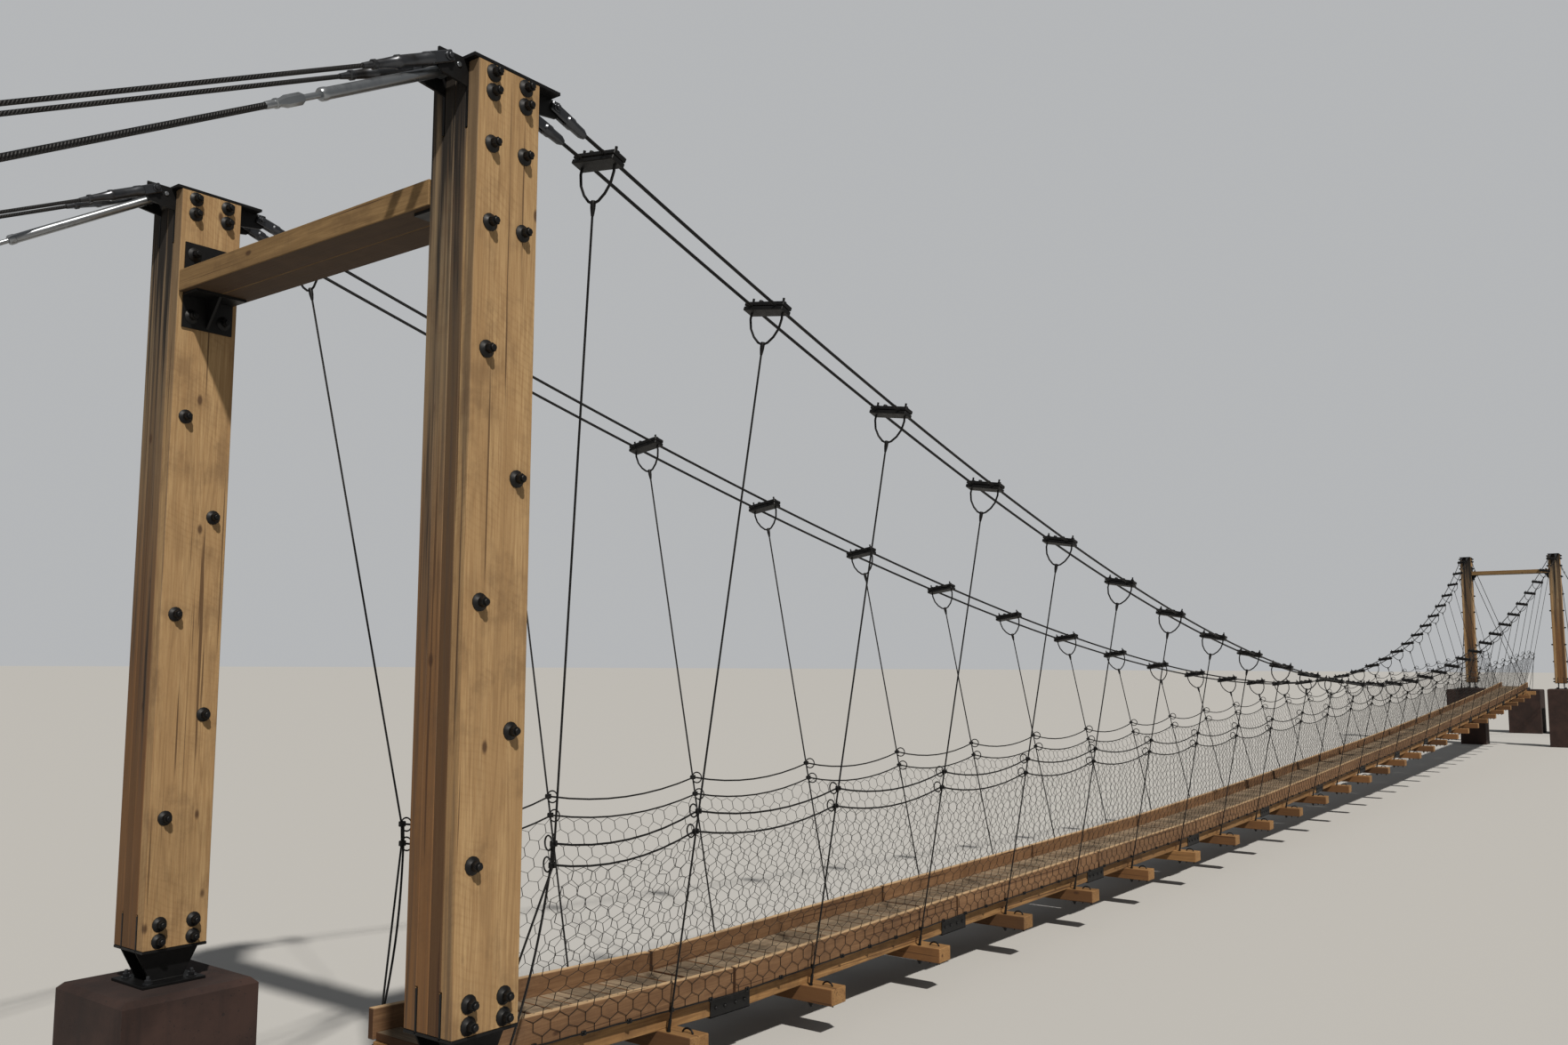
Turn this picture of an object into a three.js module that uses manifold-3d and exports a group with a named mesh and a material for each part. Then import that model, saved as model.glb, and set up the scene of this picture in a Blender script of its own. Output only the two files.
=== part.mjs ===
// Suspension footbridge for walkers, a scale model at half of the real size.
//
// Every size below is the real bridge's, in millimetres, and the outer group
// brings the whole to half of it. X runs along the bridge from the near bank to
// the higher far bank, Y runs across it and Z runs up. X starts at the land side
// of the near posts, Y at the middle of the walkway and Z at the near posts' feet.

import * as THREE from 'three';
import { mergeVertices } from 'three/addons/utils/BufferGeometryUtils.js';
import Module from 'manifold-3d';

const wasm = await Module();
wasm.setup();

// The model and the ground it stands on.
const MODEL_SCALE = 0.5;
const FLOOR_Z = -850;
const CLEARANCE = 0.6;
const FAR_BANK_X = 36868;
const FAR_BANK_Z = 838;

// The towers: posts of four planks with slots for steel plates at both ends.
const POST_DEPTH = 292;
const POST_WIDTH = 260;
const POST_HEIGHT = 3435;
const POST_CENTRE_Y = 1045;
const SLOT_OFFSET = 65;
const SLOT_WIDTH = 12;
const SLOT_FOOT = 150;
const SLOT_HEAD = 250;
const PLATE_THICK = 10;

// The concrete piers under the posts.
const PIER_SIDE = 610;
const PIER_TOP = -160;
const PIER_CHAMFER = 25;

// The steel shoe between a pier and its post.
const BASE_PLATE_SIDE = 285;
const BASE_PLATE_THICK = 12;
const ANCHOR_ROD_OFFSET = 98;
const SHOE_NARROW = 142;

// The beam across the two posts of a tower.
const BEAM_BOTTOM = 2944;
const BEAM_HEIGHT = 100;
const BRACKET_LOW = 2785;
const BRACKET_WIDTH = 240;
const BRACKET_HEIGHT = 400;
const BRACKET_THICK = 8;

// The pins in the caps that hold the stays on the land side and the cables on the other.
const STAY_PIN = [-95, 3415];
const SINGLE_PIN = [-42, 3407];
const CABLE_PIN = [425, 3412];
const PIN_RADIUS = 10;

// The stays: how far each falls and how far it spreads away from the walkway, per length of run.
const STAY_RADIUS = 8;
const SINGLE_RADIUS = 10.5;
const PAIR_RUN = [0.481, -0.05];
const SINGLE_RUN = [0.597, 0.2];

// The concrete blocks that anchor the stays in the banks.
const BLOCK_TOP = -300;
const PAIR_BLOCK = { start: -8400, end: -7100, offset: -382, width: 900 };
const SINGLE_BLOCK = { start: -6700, end: -5600, offset: 1228, width: 700 };

// The two pairs of main cables, hung in planes that lean in towards the walkway.
const CABLE_RADIUS = 8;
const CABLE_TOP = 3488;
const CABLE_SPAN = 36576;
const CABLE_START = 146;
const CABLE_SAG = 2889;
const CABLE_LEAN = 0.152;
const CABLE_PLANE_Y = 1075;
const CABLE_SPREAD = 74;

// The hangers.
const BAY = 1219.2;
const BAYS = 30;
const FIRST_BAND = 734;
const FIRST_TRANSOM = 855;
const HANGER_RADIUS = 5;
const FOOT_Y = 340;
const FOOT_SHIFT = -50;
const BAND_LENGTH = 240;
const BAND_WIDTH = 75;
const BAND_THICK = 45;
const HOOP_HALF = 95;
const HOOP_DROP = 175;
const TIED_OFFSET = 191;

// The floor: kerb boards, planks, two beams and the transoms that the hangers carry.
const FLOOR_START = 740;
const FLOOR_END = 36330;
const FIRST_JOINT = 2571;
const KERB_TOPS = [
  -286, -356, -325, -302, -276, -215, -134, -42,
  40, 138, 244, 358, 476, 600, 730, 850,
];
const FLOOR_SECTIONS = [0, 4, 8, 12, 15];
const KERB_INSIDE = 282;
const KERB_OUTSIDE = 320;
const KERB_HEIGHT = 136;
const PLANK_TOP = 104;
const PLANK_UNDER = 142;
const STRINGER_SIDE = 89;
const STRINGER_OUTSIDE = 286;
const TRANSOM_TOP = 228;
const TRANSOM_WIDTH = 145;
const TRANSOM_HEIGHT = 90;
const TRANSOM_HALF = 499;
const SADDLE_LENGTH = 331;
const SADDLE_THICK = 6;

// The two hand ropes of each side, and the netting below them.
const HAND_RADIUS = 5;
const HAND_HEIGHTS = [900, 800];
const HAND_SAG = 60;
const NET_THICK = 6;
const NET_BAR = 24;
const NET_OPENING_BAYS = 3;

const TIMBER = { color: 0xb89468, roughness: 0.8, metalness: 0 };
const PLANKS = { color: 0x8f8272, roughness: 0.85, metalness: 0 };
const CONCRETE = { color: 0x6b4c42, roughness: 0.95, metalness: 0 };
const BLACK_STEEL = { color: 0x26262a, roughness: 0.45, metalness: 0.7 };
const CABLE_STEEL = { color: 0x2e2e30, roughness: 0.5, metalness: 0.8 };
const NETTING = { color: 0x3a3833, roughness: 0.7, metalness: 0.3 };

const point = (x, y, z) => new THREE.Vector3(x, y, z);

// Basic shapes.

function box(x0, x1, y0, y1, z0, z1) {
  const shape = new THREE.BoxGeometry(x1 - x0, y1 - y0, z1 - z0);
  return shape.translate((x0 + x1) / 2, (y0 + y1) / 2, (z0 + z1) / 2);
}

// An outline in X and Z, made solid between two values of Y.
function sideProfile(outline, y0, y1, holes = []) {
  const shape = new THREE.Shape(outline.map(([x, z]) => new THREE.Vector2(x, z)));
  for (const [x, z, radius] of holes) {
    const hole = new THREE.Path();
    for (let i = 0; i < 6; i += 1) {
      const turn = (-i * Math.PI) / 3;
      hole[i === 0 ? 'moveTo' : 'lineTo'](x + radius * Math.cos(turn), z + radius * Math.sin(turn));
    }
    hole.closePath();
    shape.holes.push(hole);
  }
  const solidShape = new THREE.ExtrudeGeometry(shape, { depth: y1 - y0, bevelEnabled: false });
  return solidShape.rotateX(Math.PI / 2).translate(0, y1, 0);
}

// An outline in Y and Z, made solid between two values of X.
function crossProfile(outline, x0, x1) {
  const shape = new THREE.Shape(outline.map(([y, z]) => new THREE.Vector2(y, z)));
  const solidShape = new THREE.ExtrudeGeometry(shape, { depth: x1 - x0, bevelEnabled: false });
  const turn = new THREE.Matrix4().makeBasis(point(0, 1, 0), point(0, 0, 1), point(1, 0, 0));
  return solidShape.applyMatrix4(turn).translate(x0, 0, 0);
}

// A straight round bar from one point to another.
function bar(from, to, radius, sides = 8) {
  const along = to.clone().sub(from);
  const shape = new THREE.CylinderGeometry(radius, radius, along.length(), sides);
  const turn = new THREE.Quaternion().setFromUnitVectors(point(0, 1, 0), along.clone().normalize());
  shape.applyQuaternion(turn);
  const middle = from.clone().add(to).multiplyScalar(0.5);
  return shape.translate(middle.x, middle.y, middle.z);
}

// A closed skin over a row of rings that all have the same number of corners. Each four-sided
// stretch is split along its shorter diagonal, so that the two faces of a thin sheet stay apart.
function loft(rings) {
  const count = rings[0].length;
  const corners = rings.flat();
  const places = corners.flatMap((p) => [p.x, p.y, p.z]);
  const faces = [];
  for (let r = 0; r + 1 < rings.length; r += 1) {
    for (let i = 0; i < count; i += 1) {
      const a = r * count + i;
      const b = r * count + ((i + 1) % count);
      const [c, d] = [a + count, b + count];
      if (corners[a].distanceTo(corners[d]) < corners[b].distanceTo(corners[c])) {
        faces.push(a, b, d, a, d, c);
      } else {
        faces.push(a, b, c, b, d, c);
      }
    }
  }
  const normal = newell(rings[0]);
  const flat = rings[0].map((p) => flatten(p, normal));
  for (const [a, b, c] of THREE.ShapeUtils.triangulateShape(flat, [])) {
    const last = (rings.length - 1) * count;
    faces.push(c, b, a, last + a, last + b, last + c);
  }
  const shape = new THREE.BufferGeometry();
  shape.setAttribute('position', new THREE.Float32BufferAttribute(places, 3));
  shape.setIndex(volume(places, faces) < 0 ? faces.slice().reverse() : faces);
  return shape;
}

// The direction that a ring of corners faces.
function newell(ring) {
  const sum = point(0, 0, 0);
  for (let i = 0; i < ring.length; i += 1) {
    const a = ring[i];
    const b = ring[(i + 1) % ring.length];
    sum.add(a.clone().cross(b));
  }
  return sum.normalize();
}

// A ring's corner as seen along the ring's own direction.
function flatten(p, normal) {
  const helper = Math.abs(normal.z) < 0.9 ? point(0, 0, 1) : point(1, 0, 0);
  const u = helper.clone().cross(normal).normalize();
  const v = normal.clone().cross(u);
  return new THREE.Vector2(p.dot(u), p.dot(v));
}

function volume(places, faces) {
  let total = 0;
  for (let i = 0; i < faces.length; i += 3) {
    const [a, b, c] = [0, 1, 2].map((k) => {
      const start = faces[i + k] * 3;
      return point(...places.slice(start, start + 3));
    });
    total += a.dot(b.cross(c)) / 6;
  }
  return total;
}

// A closed tube through a row of points, with its corners on the bends.
function tube(points, radius, sides, side) {
  const rings = points.map((p, i) => {
    const before = points[Math.max(i - 1, 0)];
    const after = points[Math.min(i + 1, points.length - 1)];
    const along = after.clone().sub(before).normalize();
    const up = along.clone().cross(side).normalize();
    const out = up.clone().cross(along).normalize();
    const ring = [];
    for (let k = 0; k < sides; k += 1) {
      const turn = (2 * Math.PI * (k + 0.5)) / sides;
      const corner = p.clone().addScaledVector(out, radius * Math.cos(turn));
      ring.push(corner.addScaledVector(up, radius * Math.sin(turn)));
    }
    return ring;
  });
  return loft(rings);
}

// Makes a solid for joining from a closed shape.
function solid(shape) {
  const bare = shape.clone();
  bare.deleteAttribute('normal');
  bare.deleteAttribute('uv');
  const merged = mergeVertices(bare, 1e-3);
  return new wasm.Manifold(new wasm.Mesh({
    numProp: 3,
    vertProperties: new Float32Array(merged.attributes.position.array),
    triVerts: new Uint32Array(merged.index.array),
  }));
}

function shapeOf(body) {
  const mesh = body.getMesh();
  const shape = new THREE.BufferGeometry();
  shape.setAttribute('position', new THREE.BufferAttribute(new Float32Array(mesh.vertProperties), 3));
  shape.setIndex(new THREE.BufferAttribute(new Uint32Array(mesh.triVerts), 1));
  return shape;
}

// Joins overlapping shapes two by two until one is left.
function fuse(shapes) {
  let bodies = shapes.map(solid);
  while (bodies.length > 1) {
    const next = [];
    for (let i = 0; i < bodies.length; i += 2) {
      next.push(i + 1 < bodies.length ? bodies[i].add(bodies[i + 1]) : bodies[i]);
    }
    bodies = next;
  }
  return shapeOf(bodies[0]);
}

function piece(name, shape, look) {
  const flat = shape.index ? shape.toNonIndexed() : shape;
  flat.computeVertexNormals();
  const mesh = new THREE.Mesh(flat, new THREE.MeshStandardMaterial(look));
  mesh.name = name;
  return mesh;
}

// A concrete pier with a chamfer round its top.
function pierShape(bottom) {
  const half = PIER_SIDE / 2;
  const square = (h, z) => [point(-h, -h, z), point(h, -h, z), point(h, h, z), point(-h, h, z)];
  const rings = [
    square(half, bottom),
    square(half, PIER_TOP - PIER_CHAMFER),
    square(half - PIER_CHAMFER, PIER_TOP),
  ];
  return loft(rings);
}

// A post seen along the bridge, with the two slots at its foot and at its head.
function postShape() {
  const half = POST_WIDTH / 2;
  const slot = SLOT_WIDTH / 2;
  const foot = [];
  const head = [];
  for (const side of [-1, 1]) {
    const middle = side * SLOT_OFFSET;
    foot.push([middle - slot, 0], [middle - slot, SLOT_FOOT]);
    foot.push([middle + slot, SLOT_FOOT], [middle + slot, 0]);
    const low = POST_HEIGHT - SLOT_HEAD;
    head.unshift([middle - slot, low], [middle - slot, POST_HEIGHT]);
    head.unshift([middle + slot, POST_HEIGHT], [middle + slot, low]);
  }
  const outline = [[-half, 0], ...foot, [half, 0], [half, POST_HEIGHT], ...head, [-half, POST_HEIGHT]];
  return crossProfile(outline, 0, POST_DEPTH);
}

// Two tapered plates in the post's foot, a bearing plate, a base plate and four anchor rods.
function shoeShape() {
  const half = POST_WIDTH / 2;
  const middle = POST_DEPTH / 2;
  const top = PIER_TOP + CLEARANCE + BASE_PLATE_THICK;
  const shapes = [];
  const side = BASE_PLATE_SIDE / 2;
  shapes.push(box(middle - side, middle + side, -side, side, PIER_TOP + CLEARANCE, top));
  shapes.push(box(0, POST_DEPTH, -half, half, -CLEARANCE - BASE_PLATE_THICK, -CLEARANCE));
  const narrow = SHOE_NARROW / 2;
  const outline = [
    [middle - narrow, top - 4],
    [middle + narrow, top - 4],
    [POST_DEPTH, -8],
    [POST_DEPTH, SLOT_FOOT - 6],
    [0, SLOT_FOOT - 6],
    [0, -8],
  ];
  for (const y of [-SLOT_OFFSET, SLOT_OFFSET]) {
    shapes.push(sideProfile(outline, y - PLATE_THICK / 2, y + PLATE_THICK / 2));
  }
  for (const dx of [-ANCHOR_ROD_OFFSET, ANCHOR_ROD_OFFSET]) {
    for (const y of [-ANCHOR_ROD_OFFSET, ANCHOR_ROD_OFFSET]) {
      shapes.push(bar(point(middle + dx, y, top - 5), point(middle + dx, y, top + 45), 17, 6));
      shapes.push(bar(point(middle + dx, y, top), point(middle + dx, y, top + 62), 10, 6));
    }
  }
  return fuse(shapes);
}

// The cap's top plate and its two upright plates, whose ears stand out on both sides of the post.
function capShape() {
  const top = POST_HEIGHT + CLEARANCE;
  const shapes = [box(-20, 396, -POST_WIDTH / 2, POST_WIDTH / 2, top, top + BASE_PLATE_THICK)];
  const low = POST_HEIGHT - SLOT_HEAD + 4;
  const outline = [
    [-130, top + 6],
    [-130, 3372],
    [-112, 3354],
    [0, 3340],
    [0, low],
    [POST_DEPTH, low],
    [POST_DEPTH, 3352],
    [430, 3372],
    [452, 3392],
    [456, 3412],
    [450, top + 6],
  ];
  const holes = [STAY_PIN, SINGLE_PIN, CABLE_PIN].map((pin) => [...pin, PIN_RADIUS + 2.5]);
  for (const y of [-SLOT_OFFSET, SLOT_OFFSET]) {
    shapes.push(sideProfile(outline, y - PLATE_THICK / 2, y + PLATE_THICK / 2, holes));
  }
  return fuse(shapes);
}

function beamShape() {
  const end = POST_CENTRE_Y - POST_WIDTH / 2 - BRACKET_THICK - 2 * CLEARANCE;
  return box(0, POST_DEPTH, -end, end, BEAM_BOTTOM, BEAM_BOTTOM + BEAM_HEIGHT);
}

// The steel plate on a post's inner face, with the seat under the beam and its gusset.
function bracketShape() {
  const middle = POST_DEPTH / 2;
  const face = POST_CENTRE_Y - POST_WIDTH / 2 - CLEARANCE;
  const inner = face - BRACKET_THICK;
  const low = BRACKET_LOW;
  const seatTop = BEAM_BOTTOM - CLEARANCE;
  const half = BRACKET_WIDTH / 2;
  const shapes = [
    box(middle - half, middle + half, inner, face, low, low + BRACKET_HEIGHT),
    box(middle - half, middle + half, inner - 118, inner + 3, seatTop - 12, seatTop),
  ];
  const gusset = [[inner + 3, seatTop - 6], [inner - 112, seatTop - 6], [inner + 3, low + 6]];
  shapes.push(crossProfile(gusset, middle - 6, middle + 6));
  return fuse(shapes);
}

// A forked socket that grips one plate on a pin: two cheeks, a neck and a tube along the given
// direction.
function socketShapes(pin, along, y, reach) {
  const shapes = [];
  const inPlane = point(along.x, 0, along.z).normalize();
  const up = inPlane.clone().cross(point(0, 1, 0)).normalize();
  const turn = new THREE.Matrix4().makeBasis(inPlane, point(0, 1, 0), up);
  const inside = PLATE_THICK / 2 + CLEARANCE;
  for (const side of [-1, 1]) {
    const middle = side * (inside + 6);
    const cheek = box(-24, 78, middle - 6, middle + 6, -22, 22);
    shapes.push(cheek.applyMatrix4(turn).translate(pin[0], y, pin[1]));
  }
  shapes.push(box(62, 90, -25, 25, -25, 25).applyMatrix4(turn).translate(pin[0], y, pin[1]));
  const at = (distance) => point(pin[0], y, pin[1]).addScaledVector(along, distance);
  shapes.push(bar(at(76), at(reach), 24, 6));
  shapes.push(bar(point(pin[0], y - 28, pin[1]), point(pin[0], y + 28, pin[1]), PIN_RADIUS, 6));
  return shapes;
}

// The three stays behind one post: a pair that draws in towards the walkway, and below it a
// single one that spreads outwards, with its tube, tightening rod and collar.
function staysShape(side) {
  const shapes = [];
  const direction = ([fall, spread]) => point(-1, side * spread, -fall).normalize();
  const below = (start, along) => {
    return start.clone().addScaledVector(along, (BLOCK_TOP + 40 - start.z) / along.z);
  };
  const across = (pin, half, radius) => {
    return bar(point(pin[0], -half, pin[1]), point(pin[0], half, pin[1]), radius, 6);
  };
  shapes.push(across(STAY_PIN, 45, 22));
  shapes.push(across(SINGLE_PIN, 45, 22), across(SINGLE_PIN, 75, PIN_RADIUS));

  const pair = direction(PAIR_RUN);
  const pairFoot = below(point(STAY_PIN[0], 0, STAY_PIN[1]), pair);
  for (const y of [-SLOT_OFFSET, SLOT_OFFSET]) {
    shapes.push(...socketShapes(STAY_PIN, pair, y, 370));
    const start = point(STAY_PIN[0], y, STAY_PIN[1]);
    const foot = below(start, pair);
    shapes.push(bar(start.addScaledVector(pair, 340), foot, STAY_RADIUS, 6));
    shapes.push(bar(foot.clone().addScaledVector(pair, -330), foot, 24, 6));
  }

  const single = direction(SINGLE_RUN);
  const at = (distance) => point(SINGLE_PIN[0], 0, SINGLE_PIN[1]).addScaledVector(single, distance);
  const singleFoot = below(at(0), single);
  shapes.push(bar(at(0), at(685), 20, 6));
  shapes.push(bar(at(640), at(800), SINGLE_RADIUS, 6));
  shapes.push(bar(at(770), at(860), 20, 6));
  shapes.push(bar(at(840), at(930), 14, 6));
  shapes.push(bar(at(900), singleFoot, SINGLE_RADIUS, 6));
  shapes.push(bar(singleFoot.clone().addScaledVector(single, -330), singleFoot, 24, 6));

  const plate = BLOCK_TOP + CLEARANCE;
  for (const foot of [pairFoot, singleFoot]) {
    shapes.push(box(foot.x - 150, foot.x + 150, foot.y - 130, foot.y + 130, plate, plate + 60));
  }
  return fuse(shapes);
}

// A block under the foot of the stays, beside the line of its post.
function blockShape(bottom, side, block) {
  const half = block.width / 2;
  const middle = side * block.offset;
  const ring = (inset, z) => [
    point(block.start + inset, middle - half + inset, z),
    point(block.end - inset, middle - half + inset, z),
    point(block.end - inset, middle + half - inset, z),
    point(block.start + inset, middle + half - inset, z),
  ];
  return loft([ring(0, bottom), ring(0, BLOCK_TOP - PIER_CHAMFER), ring(PIER_CHAMFER, BLOCK_TOP)]);
}

// One bank: both posts with all that belongs to them. The far bank is the same, turned round.
function bank(name, baseZ, turned) {
  const group = new THREE.Group();
  const bottom = FLOOR_Z - baseZ;
  for (const side of [-1, 1]) {
    const label = `${name}_${side * (turned ? -1 : 1) > 0 ? 'left' : 'right'}`;
    const pier = piece(`pier_${label}`, pierShape(bottom), CONCRETE);
    pier.position.set(POST_DEPTH / 2, side * POST_CENTRE_Y, 0);
    const bracket = piece(`beam_bracket_${label}`, bracketShape(), BLACK_STEEL);
    bracket.rotation.z = side > 0 ? 0 : Math.PI;
    bracket.position.x = side > 0 ? 0 : POST_DEPTH;
    const onPost = [
      piece(`post_shoe_${label}`, shoeShape(), BLACK_STEEL),
      piece(`post_${label}`, postShape(), TIMBER),
      piece(`post_cap_${label}`, capShape(), BLACK_STEEL),
      piece(`stays_${label}`, staysShape(side), CABLE_STEEL),
      piece(`anchor_block_${label}`, blockShape(bottom, side, PAIR_BLOCK), CONCRETE),
      piece(`guy_block_${label}`, blockShape(bottom, side, SINGLE_BLOCK), CONCRETE),
    ];
    for (const mesh of onPost) {
      mesh.position.y = side * POST_CENTRE_Y;
    }
    group.add(pier, bracket, ...onPost);
  }
  group.add(piece(`crossbeam_${name}`, beamShape(), TIMBER));
  group.rotation.z = turned ? Math.PI : 0;
  group.position.set(turned ? FAR_BANK_X : 0, 0, baseZ);
  return group;
}

// The places where the floor's sections meet, with the height of the kerb there.
const joints = KERB_TOPS.map((z, i) => {
  const x = FIRST_JOINT + (i - 1) * 2 * BAY;
  return [Math.min(Math.max(x, FLOOR_START), FLOOR_END), z];
});

// The height of the kerb's top edge at any place along the bridge.
function kerbTop(x) {
  let i = 0;
  while (i < joints.length - 2 && x > joints[i + 1][0]) {
    i += 1;
  }
  const [x0, z0] = joints[i];
  const [x1, z1] = joints[i + 1];
  return z0 + ((z1 - z0) * (x - x0)) / (x1 - x0);
}

// A strip that follows the floor between two joints, from one depth below the kerb to another.
function floorStrip(first, last, top, bottom, y0, y1) {
  const part = joints.slice(first, last + 1);
  const trim = (x, i) => x + (i === 0 ? CLEARANCE / 2 : 0) - (i === part.length - 1 ? CLEARANCE / 2 : 0);
  const upper = part.map(([x, z], i) => [trim(x, i), z - top]);
  const lower = part.map(([x, z], i) => [trim(x, i), z - bottom]);
  return sideProfile([...lower, ...upper.reverse()], y0, y1);
}

// A steel saddle round a beam's joint. Where the next beam belongs to another frame,
// its far half is open, so that the beam lies in it.
function saddleShapes(i, side, open) {
  const [x, z] = joints[i];
  const slope = (kerbTop(x + BAY) - kerbTop(x - BAY)) / (2 * BAY);
  const outside = STRINGER_OUTSIDE + SADDLE_THICK;
  const inside = STRINGER_OUTSIDE - STRINGER_SIDE - SADDLE_THICK;
  const top = -PLANK_UNDER - CLEARANCE - 4;
  const low = -PLANK_UNDER - CLEARANCE - STRINGER_SIDE - SADDLE_THICK - 3;
  const half = SADDLE_LENGTH / 2;
  const follow = new THREE.Matrix4().set(1, 0, 0, 0, 0, 1, 0, 0, slope, 0, 1, 0, 0, 0, 0, 1);
  const between = (x0, x1, y0, y1, z1) => {
    const shape = box(x0, x1, side > 0 ? y0 : -y1, side > 0 ? y1 : -y0, low, z1);
    return shape.applyMatrix4(follow).translate(x, 0, z);
  };
  if (!open) {
    return [between(-half, half, inside, outside, top)];
  }
  return [
    between(-half, -1, inside, outside, top),
    between(-3, half, inside, inside + SADDLE_THICK - CLEARANCE, top),
    between(-3, half, outside - SADDLE_THICK + CLEARANCE, outside, top),
    between(-3, half, inside, outside, low + SADDLE_THICK),
  ];
}

// The two beams of one floor section with their transoms and saddles.
function frameShape(first, last) {
  const shapes = [];
  const start = joints[first][0];
  const end = joints[last][0];
  const top = PLANK_UNDER + CLEARANCE;
  for (const side of [-1, 1]) {
    const inner = STRINGER_OUTSIDE - STRINGER_SIDE;
    const y0 = side > 0 ? inner : -STRINGER_OUTSIDE;
    shapes.push(floorStrip(first, last, top, top + STRINGER_SIDE, y0, y0 + STRINGER_SIDE));
    for (let i = first + 1; i <= Math.min(last, joints.length - 2); i += 1) {
      shapes.push(...saddleShapes(i, side, i === last));
    }
  }
  for (let k = 0; k < BAYS; k += 1) {
    const x = FIRST_TRANSOM + k * BAY;
    if (x > start && x < end) {
      const half = TRANSOM_WIDTH / 2;
      const under = -TRANSOM_TOP - TRANSOM_HEIGHT;
      const across = box(-half, half, -TRANSOM_HALF, TRANSOM_HALF, under, -TRANSOM_TOP);
      const slope = (kerbTop(x + half) - kerbTop(x - half)) / TRANSOM_WIDTH;
      shapes.push(across.rotateY(-Math.atan(slope)).translate(x, 0, kerbTop(x)));
    }
  }
  return fuse(shapes);
}

function floorPieces() {
  const meshes = [];
  for (let s = 0; s + 1 < FLOOR_SECTIONS.length; s += 1) {
    const [first, last] = [FLOOR_SECTIONS[s], FLOOR_SECTIONS[s + 1]];
    const planks = KERB_INSIDE - CLEARANCE;
    const deck = floorStrip(first, last, PLANK_TOP, PLANK_UNDER, -planks, planks);
    meshes.push(piece(`deck_planks_${s + 1}`, deck, PLANKS));
    meshes.push(piece(`floor_frame_${s + 1}`, frameShape(first, last), TIMBER));
  }
  const kerb = (y0, y1) => floorStrip(0, joints.length - 1, 0, KERB_HEIGHT, y0, y1);
  meshes.push(piece('kerb_left', kerb(KERB_INSIDE, KERB_OUTSIDE), TIMBER));
  meshes.push(piece('kerb_right', kerb(-KERB_OUTSIDE, -KERB_INSIDE), TIMBER));
  return meshes;
}

// The middle of a cable pair at a clamp, or between two clamps, for the side with positive Y.
function cableCentre(x) {
  const t = (x - CABLE_START) / CABLE_SPAN;
  const sag = 4 * CABLE_SAG * t * (1 - t);
  return point(x, CABLE_PLANE_Y - CABLE_LEAN * sag, CABLE_TOP + FAR_BANK_Z * t - sag);
}

// How far a place is from a tower's cable pins towards the nearest clamp, from 0 to 1.
function pastPins(x) {
  const lastBand = FIRST_BAND + (BAYS - 1) * BAY;
  const near = (x - CABLE_PIN[0]) / (FIRST_BAND - CABLE_PIN[0]);
  const far = (FAR_BANK_X - CABLE_PIN[0] - x) / (FAR_BANK_X - CABLE_PIN[0] - lastBand);
  return THREE.MathUtils.clamp(Math.min(near, far), 0, 1);
}

// The middle of a cable pair, with its straight ends between the last clamps and the pins.
function cableMiddle(x) {
  const share = pastPins(x);
  if (share === 1) {
    return cableCentre(x);
  }
  const near = x < FAR_BANK_X / 2;
  const band = cableCentre(near ? FIRST_BAND : FIRST_BAND + (BAYS - 1) * BAY);
  const pinX = near ? CABLE_PIN[0] : FAR_BANK_X - CABLE_PIN[0];
  const pin = point(pinX, POST_CENTRE_Y, CABLE_PIN[1] + (near ? 0 : FAR_BANK_Z));
  return pin.lerp(band, share);
}

// The place of one cable of a pair: side is -1 for the outer and 1 for the inner cable.
function cablePlace(x, side) {
  const share = pastPins(x);
  const offset = side * THREE.MathUtils.lerp(SLOT_OFFSET, CABLE_SPREAD, share);
  return cableMiddle(x).addScaledVector(acrossPair(x), offset);
}

// The direction from the outer to the inner cable of a pair. It tips with the hangers' lean.
function acrossPair(x) {
  const tip = Math.atan(CABLE_LEAN) * pastPins(x);
  return point(0, -Math.cos(tip), Math.sin(tip));
}

class CableCurve extends THREE.Curve {
  constructor(side, start, end) {
    super();
    this.side = side;
    this.start = start;
    this.end = end;
  }

  getPoint(t, target = new THREE.Vector3()) {
    const x = this.start + (this.end - this.start) * t;
    return target.copy(cablePlace(x, this.side));
  }
}

function cableShape(side) {
  const curve = new CableCurve(side, CABLE_PIN[0] + 95, FAR_BANK_X - CABLE_PIN[0] - 95);
  const section = new THREE.Shape();
  for (let i = 0; i < 4; i += 1) {
    const turn = ((i + 0.5) * Math.PI) / 2;
    const corner = [CABLE_RADIUS * Math.cos(turn), CABLE_RADIUS * Math.sin(turn)];
    section[i === 0 ? 'moveTo' : 'lineTo'](...corner);
  }
  section.closePath();
  return new THREE.ExtrudeGeometry(section, { steps: 34, extrudePath: curve, curveSegments: 1 });
}

// The line of one hanger, from the bottom of its hoop down to the transom.
function hangerLine(i) {
  const band = cableMiddle(FIRST_BAND + i * BAY);
  const transom = FIRST_TRANSOM + i * BAY;
  const footX = transom + (i === BAYS - 1 ? -FOOT_SHIFT : FOOT_SHIFT);
  const foot = point(footX, FOOT_Y, kerbTop(footX) - TRANSOM_TOP + CLEARANCE + 2);
  const down = foot.clone().sub(band).normalize();
  const line = [band.clone().addScaledVector(down, HOOP_DROP), foot];
  if (i === 0 || i === BAYS - 1) {
    const x = transom + (i === 0 ? TIED_OFFSET : -TIED_OFFSET);
    line.splice(1, 0, point(x, 537, kerbTop(x) + 776), point(x, 531, kerbTop(x) + 684));
  }
  return line;
}

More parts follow.
